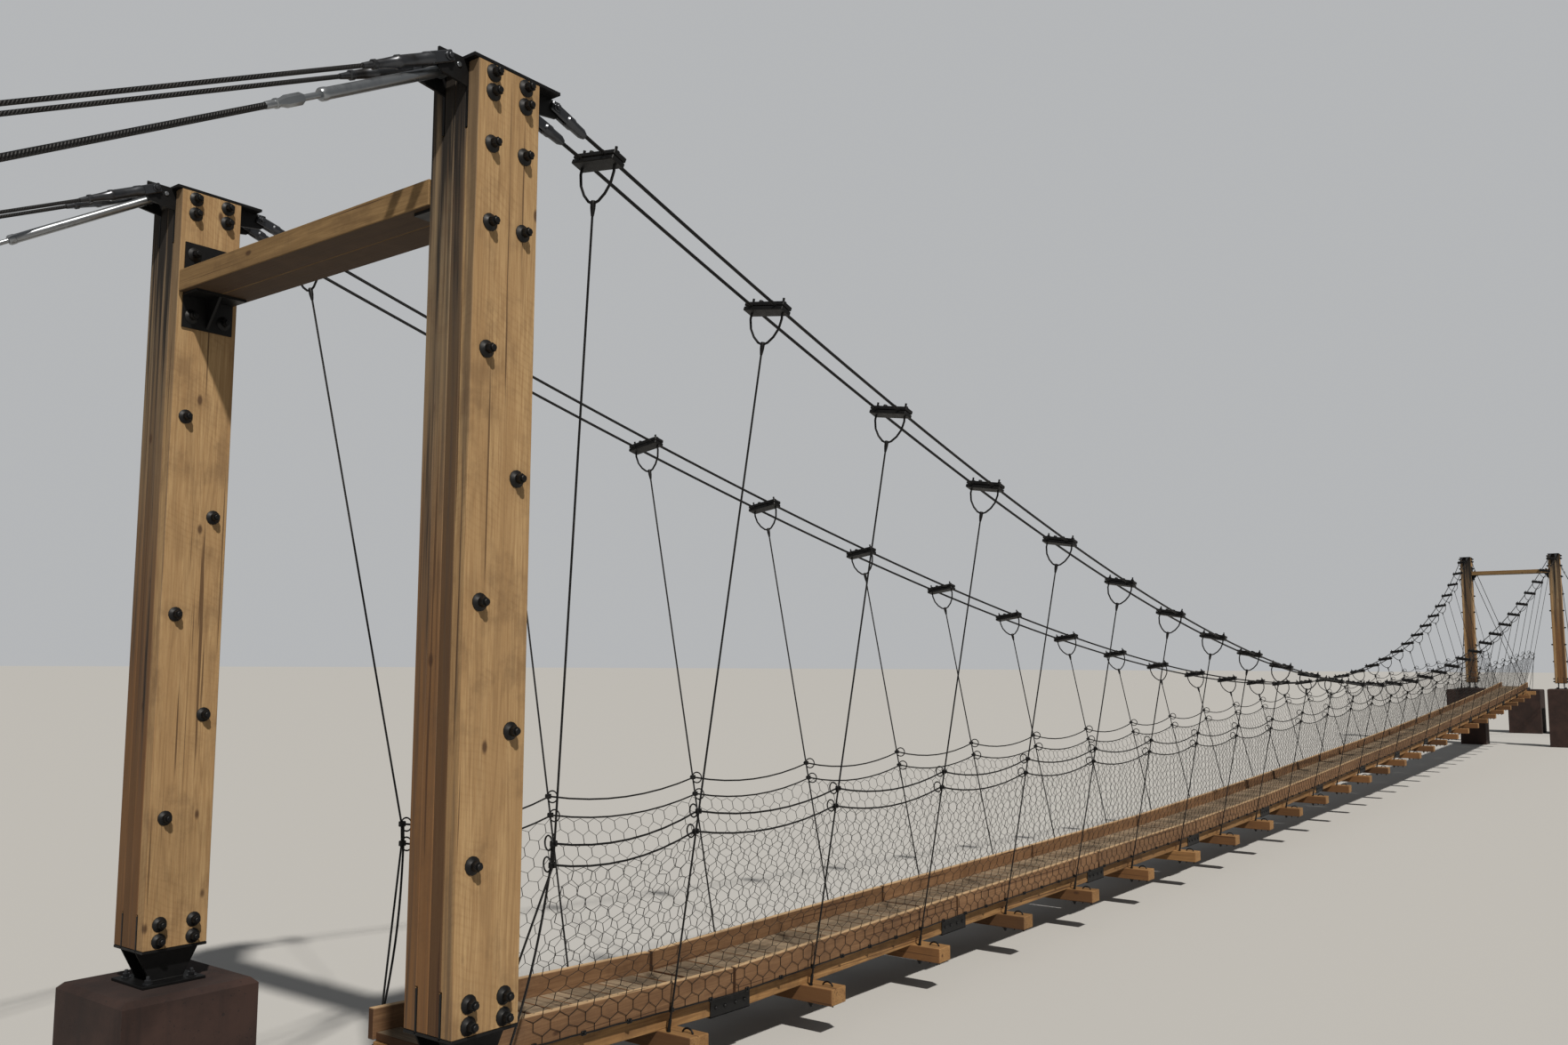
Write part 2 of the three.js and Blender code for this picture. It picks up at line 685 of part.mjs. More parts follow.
// How high above the kerb a hand rope meets a hanger.
function handHeight(i, rope) {
  const end = Math.min(i, BAYS - 1 - i);
  const lower = end === 0 ? 120 : end === 1 ? 30 : 0;
  return HAND_HEIGHTS[rope] - lower;
}

// The place on a hanger that a hand rope is held at.
function clipPlace(i, rope) {
  const line = hangerLine(i);
  let height = kerbTop(FIRST_TRANSOM + i * BAY) + handHeight(i, rope);
  if (line.length > 2) {
    return line[1 + rope].clone().add(point(0, -4, 0));
  }
  const [top, foot] = line;
  height = Math.min(height, top.z - 12 - 78 * rope);
  const share = (top.z - height) / (top.z - foot.z);
  return top.clone().lerp(foot, share);
}

function cablesShape() {
  const shapes = [cableShape(-1), cableShape(1)];
  for (const end of [0, 1]) {
    const x = end === 0 ? CABLE_PIN[0] : FAR_BANK_X - CABLE_PIN[0];
    const away = end === 0 ? 170 : -170;
    const z = CABLE_PIN[1] + end * FAR_BANK_Z;
    for (const side of [-1, 1]) {
      const target = cablePlace(x + away, side);
      const along = point(target.x - x, 0, target.z - z).normalize();
      shapes.push(...socketShapes([x, z], along, POST_CENTRE_Y - side * SLOT_OFFSET, 176));
    }
  }
  for (let i = 0; i < BAYS; i += 1) {
    const x = FIRST_BAND + i * BAY;
    const middle = cableMiddle(x);
    const along = cableCentre(x + 1).sub(cableCentre(x - 1)).normalize();
    const up = along.clone().cross(acrossPair(x)).normalize();
    up.multiplyScalar(Math.sign(up.z));
    const across = up.clone().cross(along).normalize();
    const turn = new THREE.Matrix4().makeBasis(along, across, up).setPosition(middle);
    const half = BAND_LENGTH / 2;
    const band = box(-BAND_WIDTH / 2, BAND_WIDTH / 2, -half, half, -BAND_THICK / 2, BAND_THICK / 2);
    shapes.push(band.applyMatrix4(turn));
    const line = hangerLine(i);
    const down = line[0].clone().sub(middle).normalize();
    const at = (side, drop) => middle.clone().addScaledVector(across, side).addScaledVector(down, drop);
    const hoop = [at(-HOOP_HALF, -8), at(0, HOOP_DROP), at(HOOP_HALF, -8)];
    shapes.push(tube(hoop, 8, 3, along));
    const rope = [line[0].clone().addScaledVector(down, -12), ...line.slice(1)];
    shapes.push(tube(rope, HANGER_RADIUS, 3, point(0, 1, 0)));
  }
  return fuse(shapes);
}

const HAND_SIDE = point(0, -HANGER_RADIUS - HAND_RADIUS, 0);

// The centre line of one hand rope, from the near transom over all the rings to the far transom.
function handPoints(rope) {
  const points = [];
  for (let i = 0; i < BAYS; i += 1) {
    const here = clipPlace(i, rope).add(HAND_SIDE);
    if (i > 0) {
      const last = points[points.length - 1];
      points.push(last.clone().lerp(here, 0.5).add(point(0, 0, -HAND_SAG)));
    }
    points.push(here);
  }
  return points;
}

// The shared tail of both hand ropes at one end, tied down to the transom's end.
function tailPoints(end) {
  const i = end === 0 ? 0 : BAYS - 1;
  const toSpan = end === 0 ? 1 : -1;
  const x = FIRST_TRANSOM + i * BAY;
  const top = clipPlace(i, 1).add(HAND_SIDE);
  const foot = point(x, 422, kerbTop(x) - TRANSOM_TOP + CLEARANCE + 4);
  const upper = top.clone().lerp(foot, 0.32).add(point(toSpan * 26, 0, 0));
  const lower = top.clone().lerp(foot, 0.7).add(point(toSpan * 8, 4, 0));
  return [clipPlace(i, 0).add(HAND_SIDE), top, upper, lower, foot];
}

function handRopesShape() {
  const shapes = [];
  for (const rope of [0, 1]) {
    shapes.push(tube(handPoints(rope), HAND_RADIUS, 3, point(0, 1, 0)));
  }
  shapes.push(tube(tailPoints(0), HAND_RADIUS + 0.4, 3, point(0, 1, 0)));
  shapes.push(tube(tailPoints(1), HAND_RADIUS + 0.4, 3, point(0, 1, 0)));
  return fuse(shapes);
}

// The place on a row of points that runs along the bridge, at a value of X.
function placeAt(points, x) {
  const after = Math.max(1, points.findIndex((p, i) => p.x >= x || i === points.length - 1));
  const [a, b] = [points[after - 1], points[after]];
  return a.clone().lerp(b, (x - a.x) / (b.x - a.x));
}

// A sheet of even thickness, made of four-sided cells whose corners are looked up by name. Cells
// that share two corners grow together, and every free edge gets a narrow side face.
function cellSheet(cells, places, thick) {
  const names = [...new Set(cells.flat())];
  const across = point(0, thick / 2, 0);
  const corners = [
    ...names.map((name) => places(name).add(across)),
    ...names.map((name) => places(name).sub(across)),
  ];
  const order = new Map(names.map((name, i) => [name, i]));
  const edges = new Set();
  for (const cell of cells) {
    cell.forEach((name, k) => edges.add(`${name}>${cell[(k + 1) % 4]}`));
  }
  const inner = names.length;
  const faces = [];
  for (const cell of cells) {
    const [a, b, c, d] = cell.map((name) => order.get(name));
    faces.push(a, b, c, a, c, d);
    faces.push(inner + c, inner + b, inner + a, inner + d, inner + c, inner + a);
    cell.forEach((name, k) => {
      const next = cell[(k + 1) % 4];
      if (!edges.has(`${next}>${name}`)) {
        const [p, q] = [order.get(name), order.get(next)];
        faces.push(q, p, inner + p, q, inner + p, inner + q);
      }
    });
  }
  const flat = corners.flatMap((p) => [p.x, p.y, p.z]);
  const shape = new THREE.BufferGeometry();
  shape.setAttribute('position', new THREE.Float32BufferAttribute(flat, 3));
  shape.setIndex(volume(flat, faces) < 0 ? faces.slice().reverse() : faces);
  return shape;
}

// The netting, from the lower hand rope down over the kerb's outer face, as a thin sheet with two
// rows of wide openings. Bars of it run along the kerb, at half height and under the hand rope.
function netShape() {
  const rope = handPoints(1);
  const last = rope.length - 1;
  const start = rope[0].clone().lerp(rope[1], 0.05).x;
  const end = rope[last].clone().lerp(rope[last - 1], 0.05).x;
  const uprights = [[start, start + NET_BAR]];
  for (let i = NET_OPENING_BAYS; i < BAYS - 1; i += NET_OPENING_BAYS) {
    const middle = rope[2 * i].x;
    uprights.push([middle - NET_BAR / 2, middle + NET_BAR / 2]);
  }
  uprights.push([end - NET_BAR, end]);
  const between = (x) => uprights.every(([a, b]) => x < a - 1 || x > b + 1) && x > start && x < end;
  const stops = (own) => [...uprights.flat(), ...own.filter(between)].sort((a, b) => a - b);
  const middleY = KERB_OUTSIDE + 1 + NET_THICK / 2;
  const places = (name) => {
    const [x, row] = name.split('/').map(Number);
    const kerb = kerbTop(x);
    const under = placeAt(rope, x).add(point(0, -3, -HAND_RADIUS - 3));
    const half = (kerb + under.z) / 2;
    const heights = [
      kerb - KERB_HEIGHT,
      kerb + NET_BAR,
      half - NET_BAR / 2,
      half + NET_BAR / 2,
      under.z - NET_BAR,
      under.z,
    ];
    const share = Math.max(0, (heights[row] - kerb) / (under.z - kerb));
    return point(x, middleY + (under.y - middleY) * share, heights[row]);
  };
  const cell = (a, b, row) => [`${b}/${row}`, `${a}/${row}`, `${a}/${row + 1}`, `${b}/${row + 1}`];
  const strip = (columns, row) => columns.slice(1).map((x, i) => cell(columns[i], x, row));
  const cells = [
    ...strip(stops(joints.map(([x]) => x)), 0),
    ...strip(stops([]), 2),
    ...strip(stops(rope.map((p) => p.x)), 4),
    ...uprights.flatMap(([a, b]) => [cell(a, b, 1), cell(a, b, 3)]),
  ];
  return cellSheet(cells, places, NET_THICK);
}

// The shapes above are for the side with positive Y. The other side is their mirror image.
function mirrored(shape) {
  const flipped = (shape.index ? shape.toNonIndexed() : shape).clone();
  const places = flipped.attributes.position;
  for (let i = 0; i < places.count; i += 3) {
    const corners = [0, 2, 1].map((k) => {
      const from = i + k;
      return [places.getX(from), -places.getY(from), places.getZ(from)];
    });
    corners.forEach((corner, k) => places.setXYZ(i + k, ...corner));
  }
  return flipped;
}

// The whole bridge.
const bridge = new THREE.Group();
bridge.add(bank('near', 0, false));
bridge.add(bank('far', FAR_BANK_Z, true));
bridge.add(...floorPieces());

const sideShapes = [
  ['main_cables', cablesShape(), CABLE_STEEL],
  ['hand_ropes', handRopesShape(), CABLE_STEEL],
  ['side_netting', netShape(), NETTING],
];
for (const [name, shape, look] of sideShapes) {
  bridge.add(piece(`${name}_left`, shape, look));
  bridge.add(piece(`${name}_right`, mirrored(shape), look));
}

bridge.scale.setScalar(MODEL_SCALE);
bridge.position.set((-FAR_BANK_X / 2) * MODEL_SCALE, 0, -FLOOR_Z * MODEL_SCALE);

const model = new THREE.Group();
model.add(bridge);

export default model;
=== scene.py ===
# %% [markdown]
# # A suspension footbridge, dressed for the camera
#
# The packed model gives the bridge its construction. This lesson gives it its looks: planks, wire rope,
# netting, bolts and the finish of every surface. Finished meshes could be loaded for that, but here every piece
# is worked out in code from the bridge's own sizes, so that each size can be read and changed.

# %% The frame and the tools
import math
import random

import bmesh
import bpy
import numpy as np
from mathutils import Matrix, Vector


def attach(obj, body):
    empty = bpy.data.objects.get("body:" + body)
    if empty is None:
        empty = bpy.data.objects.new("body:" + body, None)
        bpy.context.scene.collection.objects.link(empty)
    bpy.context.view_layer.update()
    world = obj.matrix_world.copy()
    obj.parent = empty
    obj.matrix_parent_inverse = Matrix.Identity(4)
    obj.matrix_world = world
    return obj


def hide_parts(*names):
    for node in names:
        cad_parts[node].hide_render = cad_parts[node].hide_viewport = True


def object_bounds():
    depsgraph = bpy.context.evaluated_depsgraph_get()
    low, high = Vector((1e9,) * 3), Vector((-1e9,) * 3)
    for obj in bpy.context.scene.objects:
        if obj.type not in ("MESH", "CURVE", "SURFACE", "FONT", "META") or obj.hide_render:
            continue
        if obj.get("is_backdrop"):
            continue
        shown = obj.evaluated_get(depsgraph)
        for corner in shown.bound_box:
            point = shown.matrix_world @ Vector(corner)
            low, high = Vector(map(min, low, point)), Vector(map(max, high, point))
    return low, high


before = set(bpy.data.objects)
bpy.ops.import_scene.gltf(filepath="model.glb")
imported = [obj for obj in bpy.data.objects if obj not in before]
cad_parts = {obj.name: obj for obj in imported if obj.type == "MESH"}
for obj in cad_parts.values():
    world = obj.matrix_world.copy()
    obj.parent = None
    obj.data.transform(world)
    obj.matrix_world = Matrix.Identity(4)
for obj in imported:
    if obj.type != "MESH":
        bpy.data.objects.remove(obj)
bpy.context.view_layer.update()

# %% [markdown]
# ## Where things are
#
# X runs along the bridge and starts at the near posts, on the face that looks away from the span. Y runs across it
# from the middle of the walkway, and Z runs up from the near posts' feet. The far tower stands higher, and is the
# near one turned half round. Pieces could be drawn in the small model's own metres, or scaled as objects. Here they
# are drawn in the real bridge's millimetres, which are easy to check, and `site` brings each point over, so no
# object has a scale.

# %% From the site's millimetres to the model's metres
MODEL_SCALE = 0.5
FAR_X = 36868
FAR_Z = 838
FLOOR_Z = -850


def site(points):
    """Points in the site's millimetres, as an array of model metres."""
    points = np.asarray(points, float)
    return (points - [FAR_X / 2, 0, FLOOR_Z]) * MODEL_SCALE / 1000


def at_far_tower(points):
    """Points of the near tower, brought to the far one."""
    points = np.asarray(points, float)
    return points * [-1, -1, 1] + [FAR_X, 0, FAR_Z]


print("near post foot", site([0, 0, 0]), "far post foot", site([FAR_X, 0, FAR_Z]))

# %% [markdown]
# ## The camera
#
# It stands beside the near tower at eye height and looks across the floor to the far tower. A camera can be set
# by eye, or told to track a target. This one takes fitted numbers, which come from lining up points of the
# towers, the cables and the floor, because only then do all the lines fall where the photograph has them.

# %% The camera
CAMERA_PLACE = (-10.6158, -2.3165, 1.0553)
CAMERA_YAW, CAMERA_PITCH, CAMERA_ROLL = (math.radians(angle) for angle in (52.583, 5.75, 0.254))
LENS, FILM_WIDTH, LENS_SHIFT = 28.758, 36, (0.0106, 0.0095)
FARTHEST = 1000


def camera_axes(yaw, pitch, roll):
    """The camera's right, its up and what lies behind it."""
    ahead = Vector((math.sin(yaw) * math.cos(pitch), math.cos(yaw) * math.cos(pitch), math.sin(pitch)))
    level = Vector((math.cos(yaw), -math.sin(yaw), 0))
    right = level * math.cos(roll) + level.cross(ahead) * math.sin(roll)
    return right, right.cross(ahead), -ahead


def put_in_scene(name, data):
    """A new object in the scene, at the origin."""
    thing = bpy.data.objects.new(name, data)
    bpy.context.scene.collection.objects.link(thing)
    return thing


camera_data = bpy.data.cameras.new("photo_camera")
camera_data.lens, camera_data.sensor_width = LENS, FILM_WIDTH
camera_data.shift_x, camera_data.shift_y = LENS_SHIFT
camera_data.clip_end = FARTHEST
camera = put_in_scene("photo_camera", camera_data)
turn = Matrix(camera_axes(CAMERA_YAW, CAMERA_PITCH, CAMERA_ROLL)).transposed()
camera.matrix_world = Matrix.Translation(CAMERA_PLACE) @ turn.to_4x4()
bpy.context.scene.camera = camera
print("camera at", CAMERA_PLACE)

# %% [markdown]
# ## Shared surface effects
#
# Timber, steel and rope share a few effects, such as grain and dirt. Their nodes could be copied into each
# material. Instead each effect is a node group that is built once, takes a few values and gives back colours,
# masks and heights, so that one change reaches every finish. The shaders stay in the materials.

# %% A helper that adds and links nodes


class Nodes:
    """Adds nodes to a material or a group, and links what it is given."""

    def __init__(self, graph):
        self.graph = graph

    def set(self, node, name, value):
        """Links an input, by name or number, to a socket, or sets it to a plain value."""
        if isinstance(value, bpy.types.NodeSocket):
            self.graph.links.new(value, node.inputs[name])
        else:
            node.inputs[name].default_value = value

    def fill(self, node, **inputs):
        """Sets inputs by name, where _ stands for a space."""
        for name, value in inputs.items():
            self.set(node, name.replace("_", " "), value)
        return node

    def add(self, kind, settings=None, **inputs):
        node = self.graph.nodes.new(kind)
        for name, value in (settings or {}).items():
            setattr(node, name, value)
        return self.fill(node, **inputs)

    def place(self):
        return self.add("ShaderNodeTexCoord").outputs["Object"]

    def normal(self):
        return self.add("ShaderNodeNewGeometry").outputs["Normal"]

    def attribute(self, name):
        return self.add("ShaderNodeAttribute", {"attribute_name": name}).outputs

    def group(self, group, **inputs):
        """Puts a node group here with its own values."""
        return self.add("ShaderNodeGroup", {"node_tree": group}, **inputs).outputs


print("kinds of shader node:", sum(kind.startswith("ShaderNode") for kind in dir(bpy.types)))

# %% [markdown]
# ### Sums, noise and masks
#
# A finish is mostly sums: how much noise, where a mask starts, which colour lies on top. Each could be a node that is
# placed and linked by hand in the shader editor. Written as short calls, a whole finish fits on a page and reads like
# the sum that it is.

# %% A helper for sums, noise and masks


class Graph(Nodes):
    """The same, with sums, noise, masks and mixed colours."""

    def calculate(self, kind, operation, values):
        node = self.add(kind, {"operation": operation})
        for i, value in enumerate(values):
            self.set(node, i, value)
        return node.outputs

    def math(self, operation, *values):
        return self.calculate("ShaderNodeMath", operation, values)[0]

    def plus(self, a, b):
        return self.math("ADD", a, b)

    def minus(self, a, b):
        return self.math("SUBTRACT", a, b)

    def times(self, a, b):
        return self.math("MULTIPLY", a, b)

    def vector(self, operation, *values):
        return self.calculate("ShaderNodeVectorMath", operation, values)["Vector"]

    def dot(self, a, b):
        return self.calculate("ShaderNodeVectorMath", "DOT_PRODUCT", (a, b))["Value"]

    def noise(self, place, scale, detail=3.0, roughness=0.55, distortion=0.0):
        node = self.add("ShaderNodeTexNoise", Vector=place, Scale=scale, Detail=detail, Roughness=roughness,
                        Distortion=distortion)
        return node.outputs["Fac"]

    def ramp(self, value, low, high):
        """A mask that goes from 0 at low to 1 at high."""
        node = self.add("ShaderNodeMapRange", {"interpolation_type": "SMOOTHSTEP"}, Value=value, From_Min=low,
                        From_Max=high)
        return node.outputs["Result"]

    def mix(self, share, a, b, blend="MIX"):
        node = self.add("ShaderNodeMix", {"data_type": "RGBA", "blend_type": blend})
        for i, value in ((0, share), (6, a), (7, b)):
            self.set(node, i, value)
        return node.outputs[2]


print("a graph adds", *(name for name in vars(Graph) if not name.startswith("_")))

# %% [markdown]
# ### Groups and colours
#
# A group shows its sockets by name wherever it is used, like a machine with labelled dials. They could be made in
# the editor. Here one helper makes them from a short list. The second helper turns a colour as a screen shows it
# into the linear one that shaders add up.

# %% Helpers for groups and colours


def new_group(name, inputs, outputs):
    """A node group, its writer and its inputs. An input with None is a colour, and so is an output called Color."""
    group = bpy.data.node_groups.new(name, "ShaderNodeTree")
    for label, number in inputs.items():
        kind = "NodeSocketColor" if number is None else "NodeSocketFloat"
        socket = group.interface.new_socket(label, in_out="INPUT", socket_type=kind)
        if number is not None:
            socket.default_value = number
    for label in outputs.split():
        kind = "NodeSocketColor" if label == "Color" else "NodeSocketFloat"
        group.interface.new_socket(label, in_out="OUTPUT", socket_type=kind)
    writer = Graph(group)
    return group, writer, writer.add("NodeGroupInput").outputs


def colour(red, green, blue):
    """A colour as a screen shows it, from 0 to 255, made linear for the shader."""

    def linear(share):
        return share / 12.92 if share <= 0.04045 else ((share + 0.055) / 1.055) ** 2.4

    return tuple(linear(part / 255) for part in (red, green, blue)) + (1.0,)


print("mid grey is", colour(128, 128, 128))

# %% [markdown]
# ### Wood grain
#
# Sawn boards show long soft streaks along their length, wavy growth rings, a few knots and fine dark cracks, and
# across them the slanted marks of the saw. A photograph of wood could be laid over them, but it would repeat and
# smear. Noise that is stretched along the board makes most of it here. Each board carries a number of its own,
# `board`, which shifts the pattern and its tone, so that no two boards look alike, and a direction, `along`, that
# says which way its grain runs. The first cell makes the stretched place, and the second reads noise there.

# %% The stretched place in the wood
GRAIN_STRETCH, CRACK_STRETCH, KNOT_STRETCH = 0.045, 0.012, 0.5
grain_group, g, g_in = new_group("wood_grain", {"Scale": 1.0, "Saw": 0.5},
                                 "Streak Tone Rings Cracks Knots Ends Height Board")
place = g.place()
board = g.attribute("board")["Fac"]
along = g.attribute("along")["Vector"]
length_part = g.dot(place, along)
shift = g.add("ShaderNodeCombineXYZ", X=g.times(board, 3.7), Y=g.times(board, 5.3), Z=g.times(board, 7.9)).outputs[0]


def stretched(stretch):
    """The place with its part along the grain made shorter, so that a pattern comes out longer."""
    part = g.add("ShaderNodeVectorMath", {"operation": "SCALE"}, Scale=g.times(length_part, 1.0 - stretch))
    g.set(part, 0, along)
    return g.vector("ADD", g.vector("SUBTRACT", place, part.outputs["Vector"]), shift)


print("a streak is", round(1 / GRAIN_STRETCH), "times as long as wide")

# %% The wood grain group
STREAKS, TONES, GROWTH, CRACKS, KNOTS = 260.0, 26.0, 17.0, 120.0, 11.0
RINGS, SAW_TURNS, SAW_SLANT, SAW_WOBBLE = 95.0, 420.0, 190.0, 30.0


def sized(number):
    return g.times(g_in["Scale"], number)


grain_place = stretched(GRAIN_STRETCH)
fine = g.noise(grain_place, sized(STREAKS), 5.0, 0.62)
broad = g.noise(grain_place, sized(TONES), 3.0, 0.5, 0.5)
growth = g.noise(grain_place, sized(GROWTH), 1.5, 0.4, 0.3)
rings = g.ramp(g.math("SINE", g.times(growth, RINGS)), 0.1, 1.0)
cracks = g.ramp(g.noise(stretched(CRACK_STRETCH), sized(CRACKS), 2.0, 0.5), 0.645, 0.7)
cells = g.add("ShaderNodeTexVoronoi", Vector=stretched(KNOT_STRETCH), Scale=sized(KNOTS)).outputs["Distance"]
turns = g.plus(g.times(length_part, SAW_TURNS), g.times(g.noise(place, 5.0, 2.0), SAW_WOBBLE))
turns = g.plus(turns, g.dot(place, (SAW_SLANT, SAW_SLANT, 0.0)))
saw = g.times(g.ramp(g.math("SINE", turns), 0.2, 1.0), g.ramp(g.noise(place, 7.0, 2.0), 0.4, 0.65))
saw = g.times(saw, g_in["Saw"])
relief = g.plus(g.plus(g.times(fine, 0.55), g.times(rings, 0.12)), g.times(saw, 0.05))
g.add("NodeGroupOutput", Streak=g.minus(g.times(fine, 0.9), g.times(saw, 0.055)), Tone=broad, Rings=rings,
      Cracks=cracks, Knots=g.ramp(cells, 0.09, 0.035), Board=board, Height=g.minus(relief, g.times(cracks, 0.8)),
      Ends=g.ramp(g.math("ABSOLUTE", g.dot(g.normal(), along)), 0.6, 0.9))
print("wood grain:", len(grain_group.nodes), "nodes")

# %% [markdown]
# ### Weather and painted light
#
# Rain washes black dirt from the steel caps down the faces that look along the bridge: long runs, thick under
# the cap and thin at the foot. The black right under the cap is also painted shadow of the cap. Soft blotches
# gather everywhere, faces that look up get a painted highlight, and undersides get painted shade. All this could
# be painted by hand. Here it comes from which way a face looks, from upright noise and from `rise`, each point's
# height on the tower from 0 to 1, so that new pieces get all of it by themselves.

# %% The weather group
RUN_WIDTHS = (46.0, 46.0, 1.2)
weather_group, w, w_in = new_group("weather", {"Runs": 1.0, "Spots": 0.5}, "Runs Grey Spots Face Up Down High")
place = w.place()
rise = w.attribute("rise")["Fac"]
facing = w.add("ShaderNodeSeparateXYZ", Vector=w.normal()).outputs
end_face = w.ramp(w.math("ABSOLUTE", facing["X"]), 0.2, 0.6)
streams = w.noise(w.vector("MULTIPLY", place, RUN_WIDTHS), 1.0, 4.0, 0.6)
# Towards the head the runs grow and close into a black band: dirt, and also painted shadow of the cap.
stain_and_shadow = w.plus(streams, w.times(w.math("POWER", rise, 4.0), 0.29))
cap_stain_and_shadow = w.ramp(w.plus(rise, w.times(streams, 0.3)), 1.05, 1.12)
amount = w.times(end_face, w_in["Runs"])
# Up marks faces for a painted highlight, Down marks undersides for painted shade.
w.add("NodeGroupOutput", Runs=w.times(w.math("MAXIMUM", w.ramp(stain_and_shadow, 0.6, 0.72), cap_stain_and_shadow), amount),
      Grey=w.times(w.ramp(stain_and_shadow, 0.5, 0.64), amount), Face=end_face, High=w.ramp(rise, 0.3, 0.8),
      Spots=w.times(w.ramp(w.noise(place, 9.0, 6.0, 0.68), 0.47, 0.7), w_in["Spots"]),
      Up=w.ramp(facing["Z"], 0.6, 0.9), Down=w.ramp(facing["Z"], -0.6, -0.9))
print("weather:", len(weather_group.nodes), "nodes")

# %% [markdown]
# ### Strands
#
# Wire rope is laid from six strands that wind round it. Modelled strands would cost a hundred times the faces, so
# a wave that winds round the rope draws them. Every rope carries `strand`, which holds the turn round the rope and
# the distance along it, and the wave bends the light as real grooves do.

# %% The strand group
STRANDS, LAY = 6.0, 90.0
strand_group, s, s_in = new_group("strands", {"Lay": LAY}, "Height Gap")
strand = s.add("ShaderNodeSeparateXYZ", Vector=s.attribute("strand")["Vector"]).outputs
winding = s.plus(s.times(strand["X"], STRANDS), s.times(strand["Y"], s_in["Lay"]))
wave = s.math("ABSOLUTE", s.math("SINE", s.times(winding, math.pi)))
s.add("NodeGroupOutput", Height=wave, Gap=s.ramp(wave, 0.45, 0.1))
print("strands:", len(strand_group.nodes), "nodes")

# %% [markdown]
# ### The look of sawn timber
#
# The bridge's timbers are one sort of wood in different weather and light. Each could have its own nodes, but they
# differ only in amounts, so one group serves them all, with three colours of their own. Front is the share of dirt
# with painted shade on faces that look along the bridge, Below the share of painted shade on undersides, Top the
# share of painted highlight on upper edges, Cut the darkness of sawn ends, and Range how much one board differs from
# the next. A board with a number near 1 lies in the sun: it is painted a little lighter and takes little of the
# front faces' dirt and shade and of the black runs.

# %% What the timber group takes
# Faces that look along the bridge: dirt with painted shade, darker towards the foot.
FRONT_FOOT = (colour(62, 39, 22), colour(112, 76, 44))
FRONT_HEAD = (colour(64, 50, 38), colour(136, 118, 92))
timber_group, t, t_in = new_group(
    "sawn_timber",
    {"Pale": None, "Dark": None, "Stain": None, "Scale": 1.0, "Saw": 0.5, "Runs": 0.0, "Spots": 0.6, "Range": 0.2,
     "Front": 0.0, "Below": 0.0, "Top": 0.0, "Cut": 0.0},
    "Color Roughness Height",
)
grain = t.group(grain_group, Scale=t_in["Scale"], Saw=t_in["Saw"])
weather = t.group(weather_group, Runs=t_in["Runs"], Spots=t_in["Spots"])
# A board number near 1 marks the sunlit plank: painted a little lighter, with little painted shade and few runs.
dirt_and_shade = t.minus(1.0, t.times(t.ramp(grain["Board"], 0.9, 0.96), 0.85))
own = t.plus(t.times(t.minus(grain["Board"], 0.6), t_in["Range"]), 1.0)
shade = t.add("ShaderNodeCombineColor", Red=own, Green=own, Blue=own).outputs[0]
front = t.mix(weather["High"], t.mix(grain["Board"], *FRONT_FOOT), t.mix(grain["Board"], *FRONT_HEAD))
print("sawn timber takes", *t_in.keys())

# %% [markdown]
# ### Layers of wood, dirt and painted light
#
# What happened to the wood first lies lowest: its own grain, then the dust of the years with painted shade and
# highlights, then the black runs. Masks could be multiplied into one sum, but the order would be lost. `cover` lays
# one colour over the next, and the list reads from the wood outwards.

# %% The timber group
# Under the caps the runs' black is also painted shadow; the sunned colour is painted highlight, the shaded one
# painted shade.
HOLLOW, BLACK_RUN_AND_SHADOW, GREY_RUN = colour(62, 40, 25), colour(22, 20, 19), colour(66, 58, 52)
PAINTED_TOP_HIGHLIGHT, SHADED = colour(206, 176, 136), colour(40, 24, 12)


def cover(look, *layers):
    """Lays colours over a look, one after another: each has a mask, its share and its colour."""
    for mask, share, above in layers:
        look = t.mix(t.times(mask, share), look, above)
    return look


look = t.mix(t.ramp(grain["Streak"], 0.22, 0.72), t_in["Dark"], t_in["Pale"])
look = cover(look, (t.ramp(grain["Tone"], 0.38, 0.66), 0.6, t_in["Dark"]), (grain["Rings"], 0.13, HOLLOW))
look = t.mix(1.0, look, shade, "MULTIPLY")
# Front faces take dirt with painted shade, tops a painted highlight, undersides painted shade.
look = cover(
    look,
    (weather["Face"], t.times(t_in["Front"], dirt_and_shade), front),
    (weather["Grey"], 0.5, GREY_RUN),
    (weather["Up"], t_in["Top"], PAINTED_TOP_HIGHLIGHT),
    (weather["Down"], t_in["Below"], SHADED),
    (grain["Ends"], t_in["Cut"], HOLLOW),
    (grain["Knots"], 0.85, HOLLOW),
    (grain["Cracks"], 0.75, HOLLOW),
    (weather["Spots"], 0.5, t_in["Stain"]),
    (t.times(weather["Runs"], dirt_and_shade), 0.92, BLACK_RUN_AND_SHADOW),
)
t.add("NodeGroupOutput", Color=look, Roughness=t.plus(t.times(grain["Streak"], 0.18), 0.7), Height=grain["Height"])
print("sawn timber:", len(timber_group.nodes), "nodes")

# %% [markdown]
# ### Steel
#
# Coated plates, bare tubes and ropes all show a fine mottle and soft worn patches. Two noises give both to every
# steel. A scratch map would look sharper up close, but nothing here is seen so close.

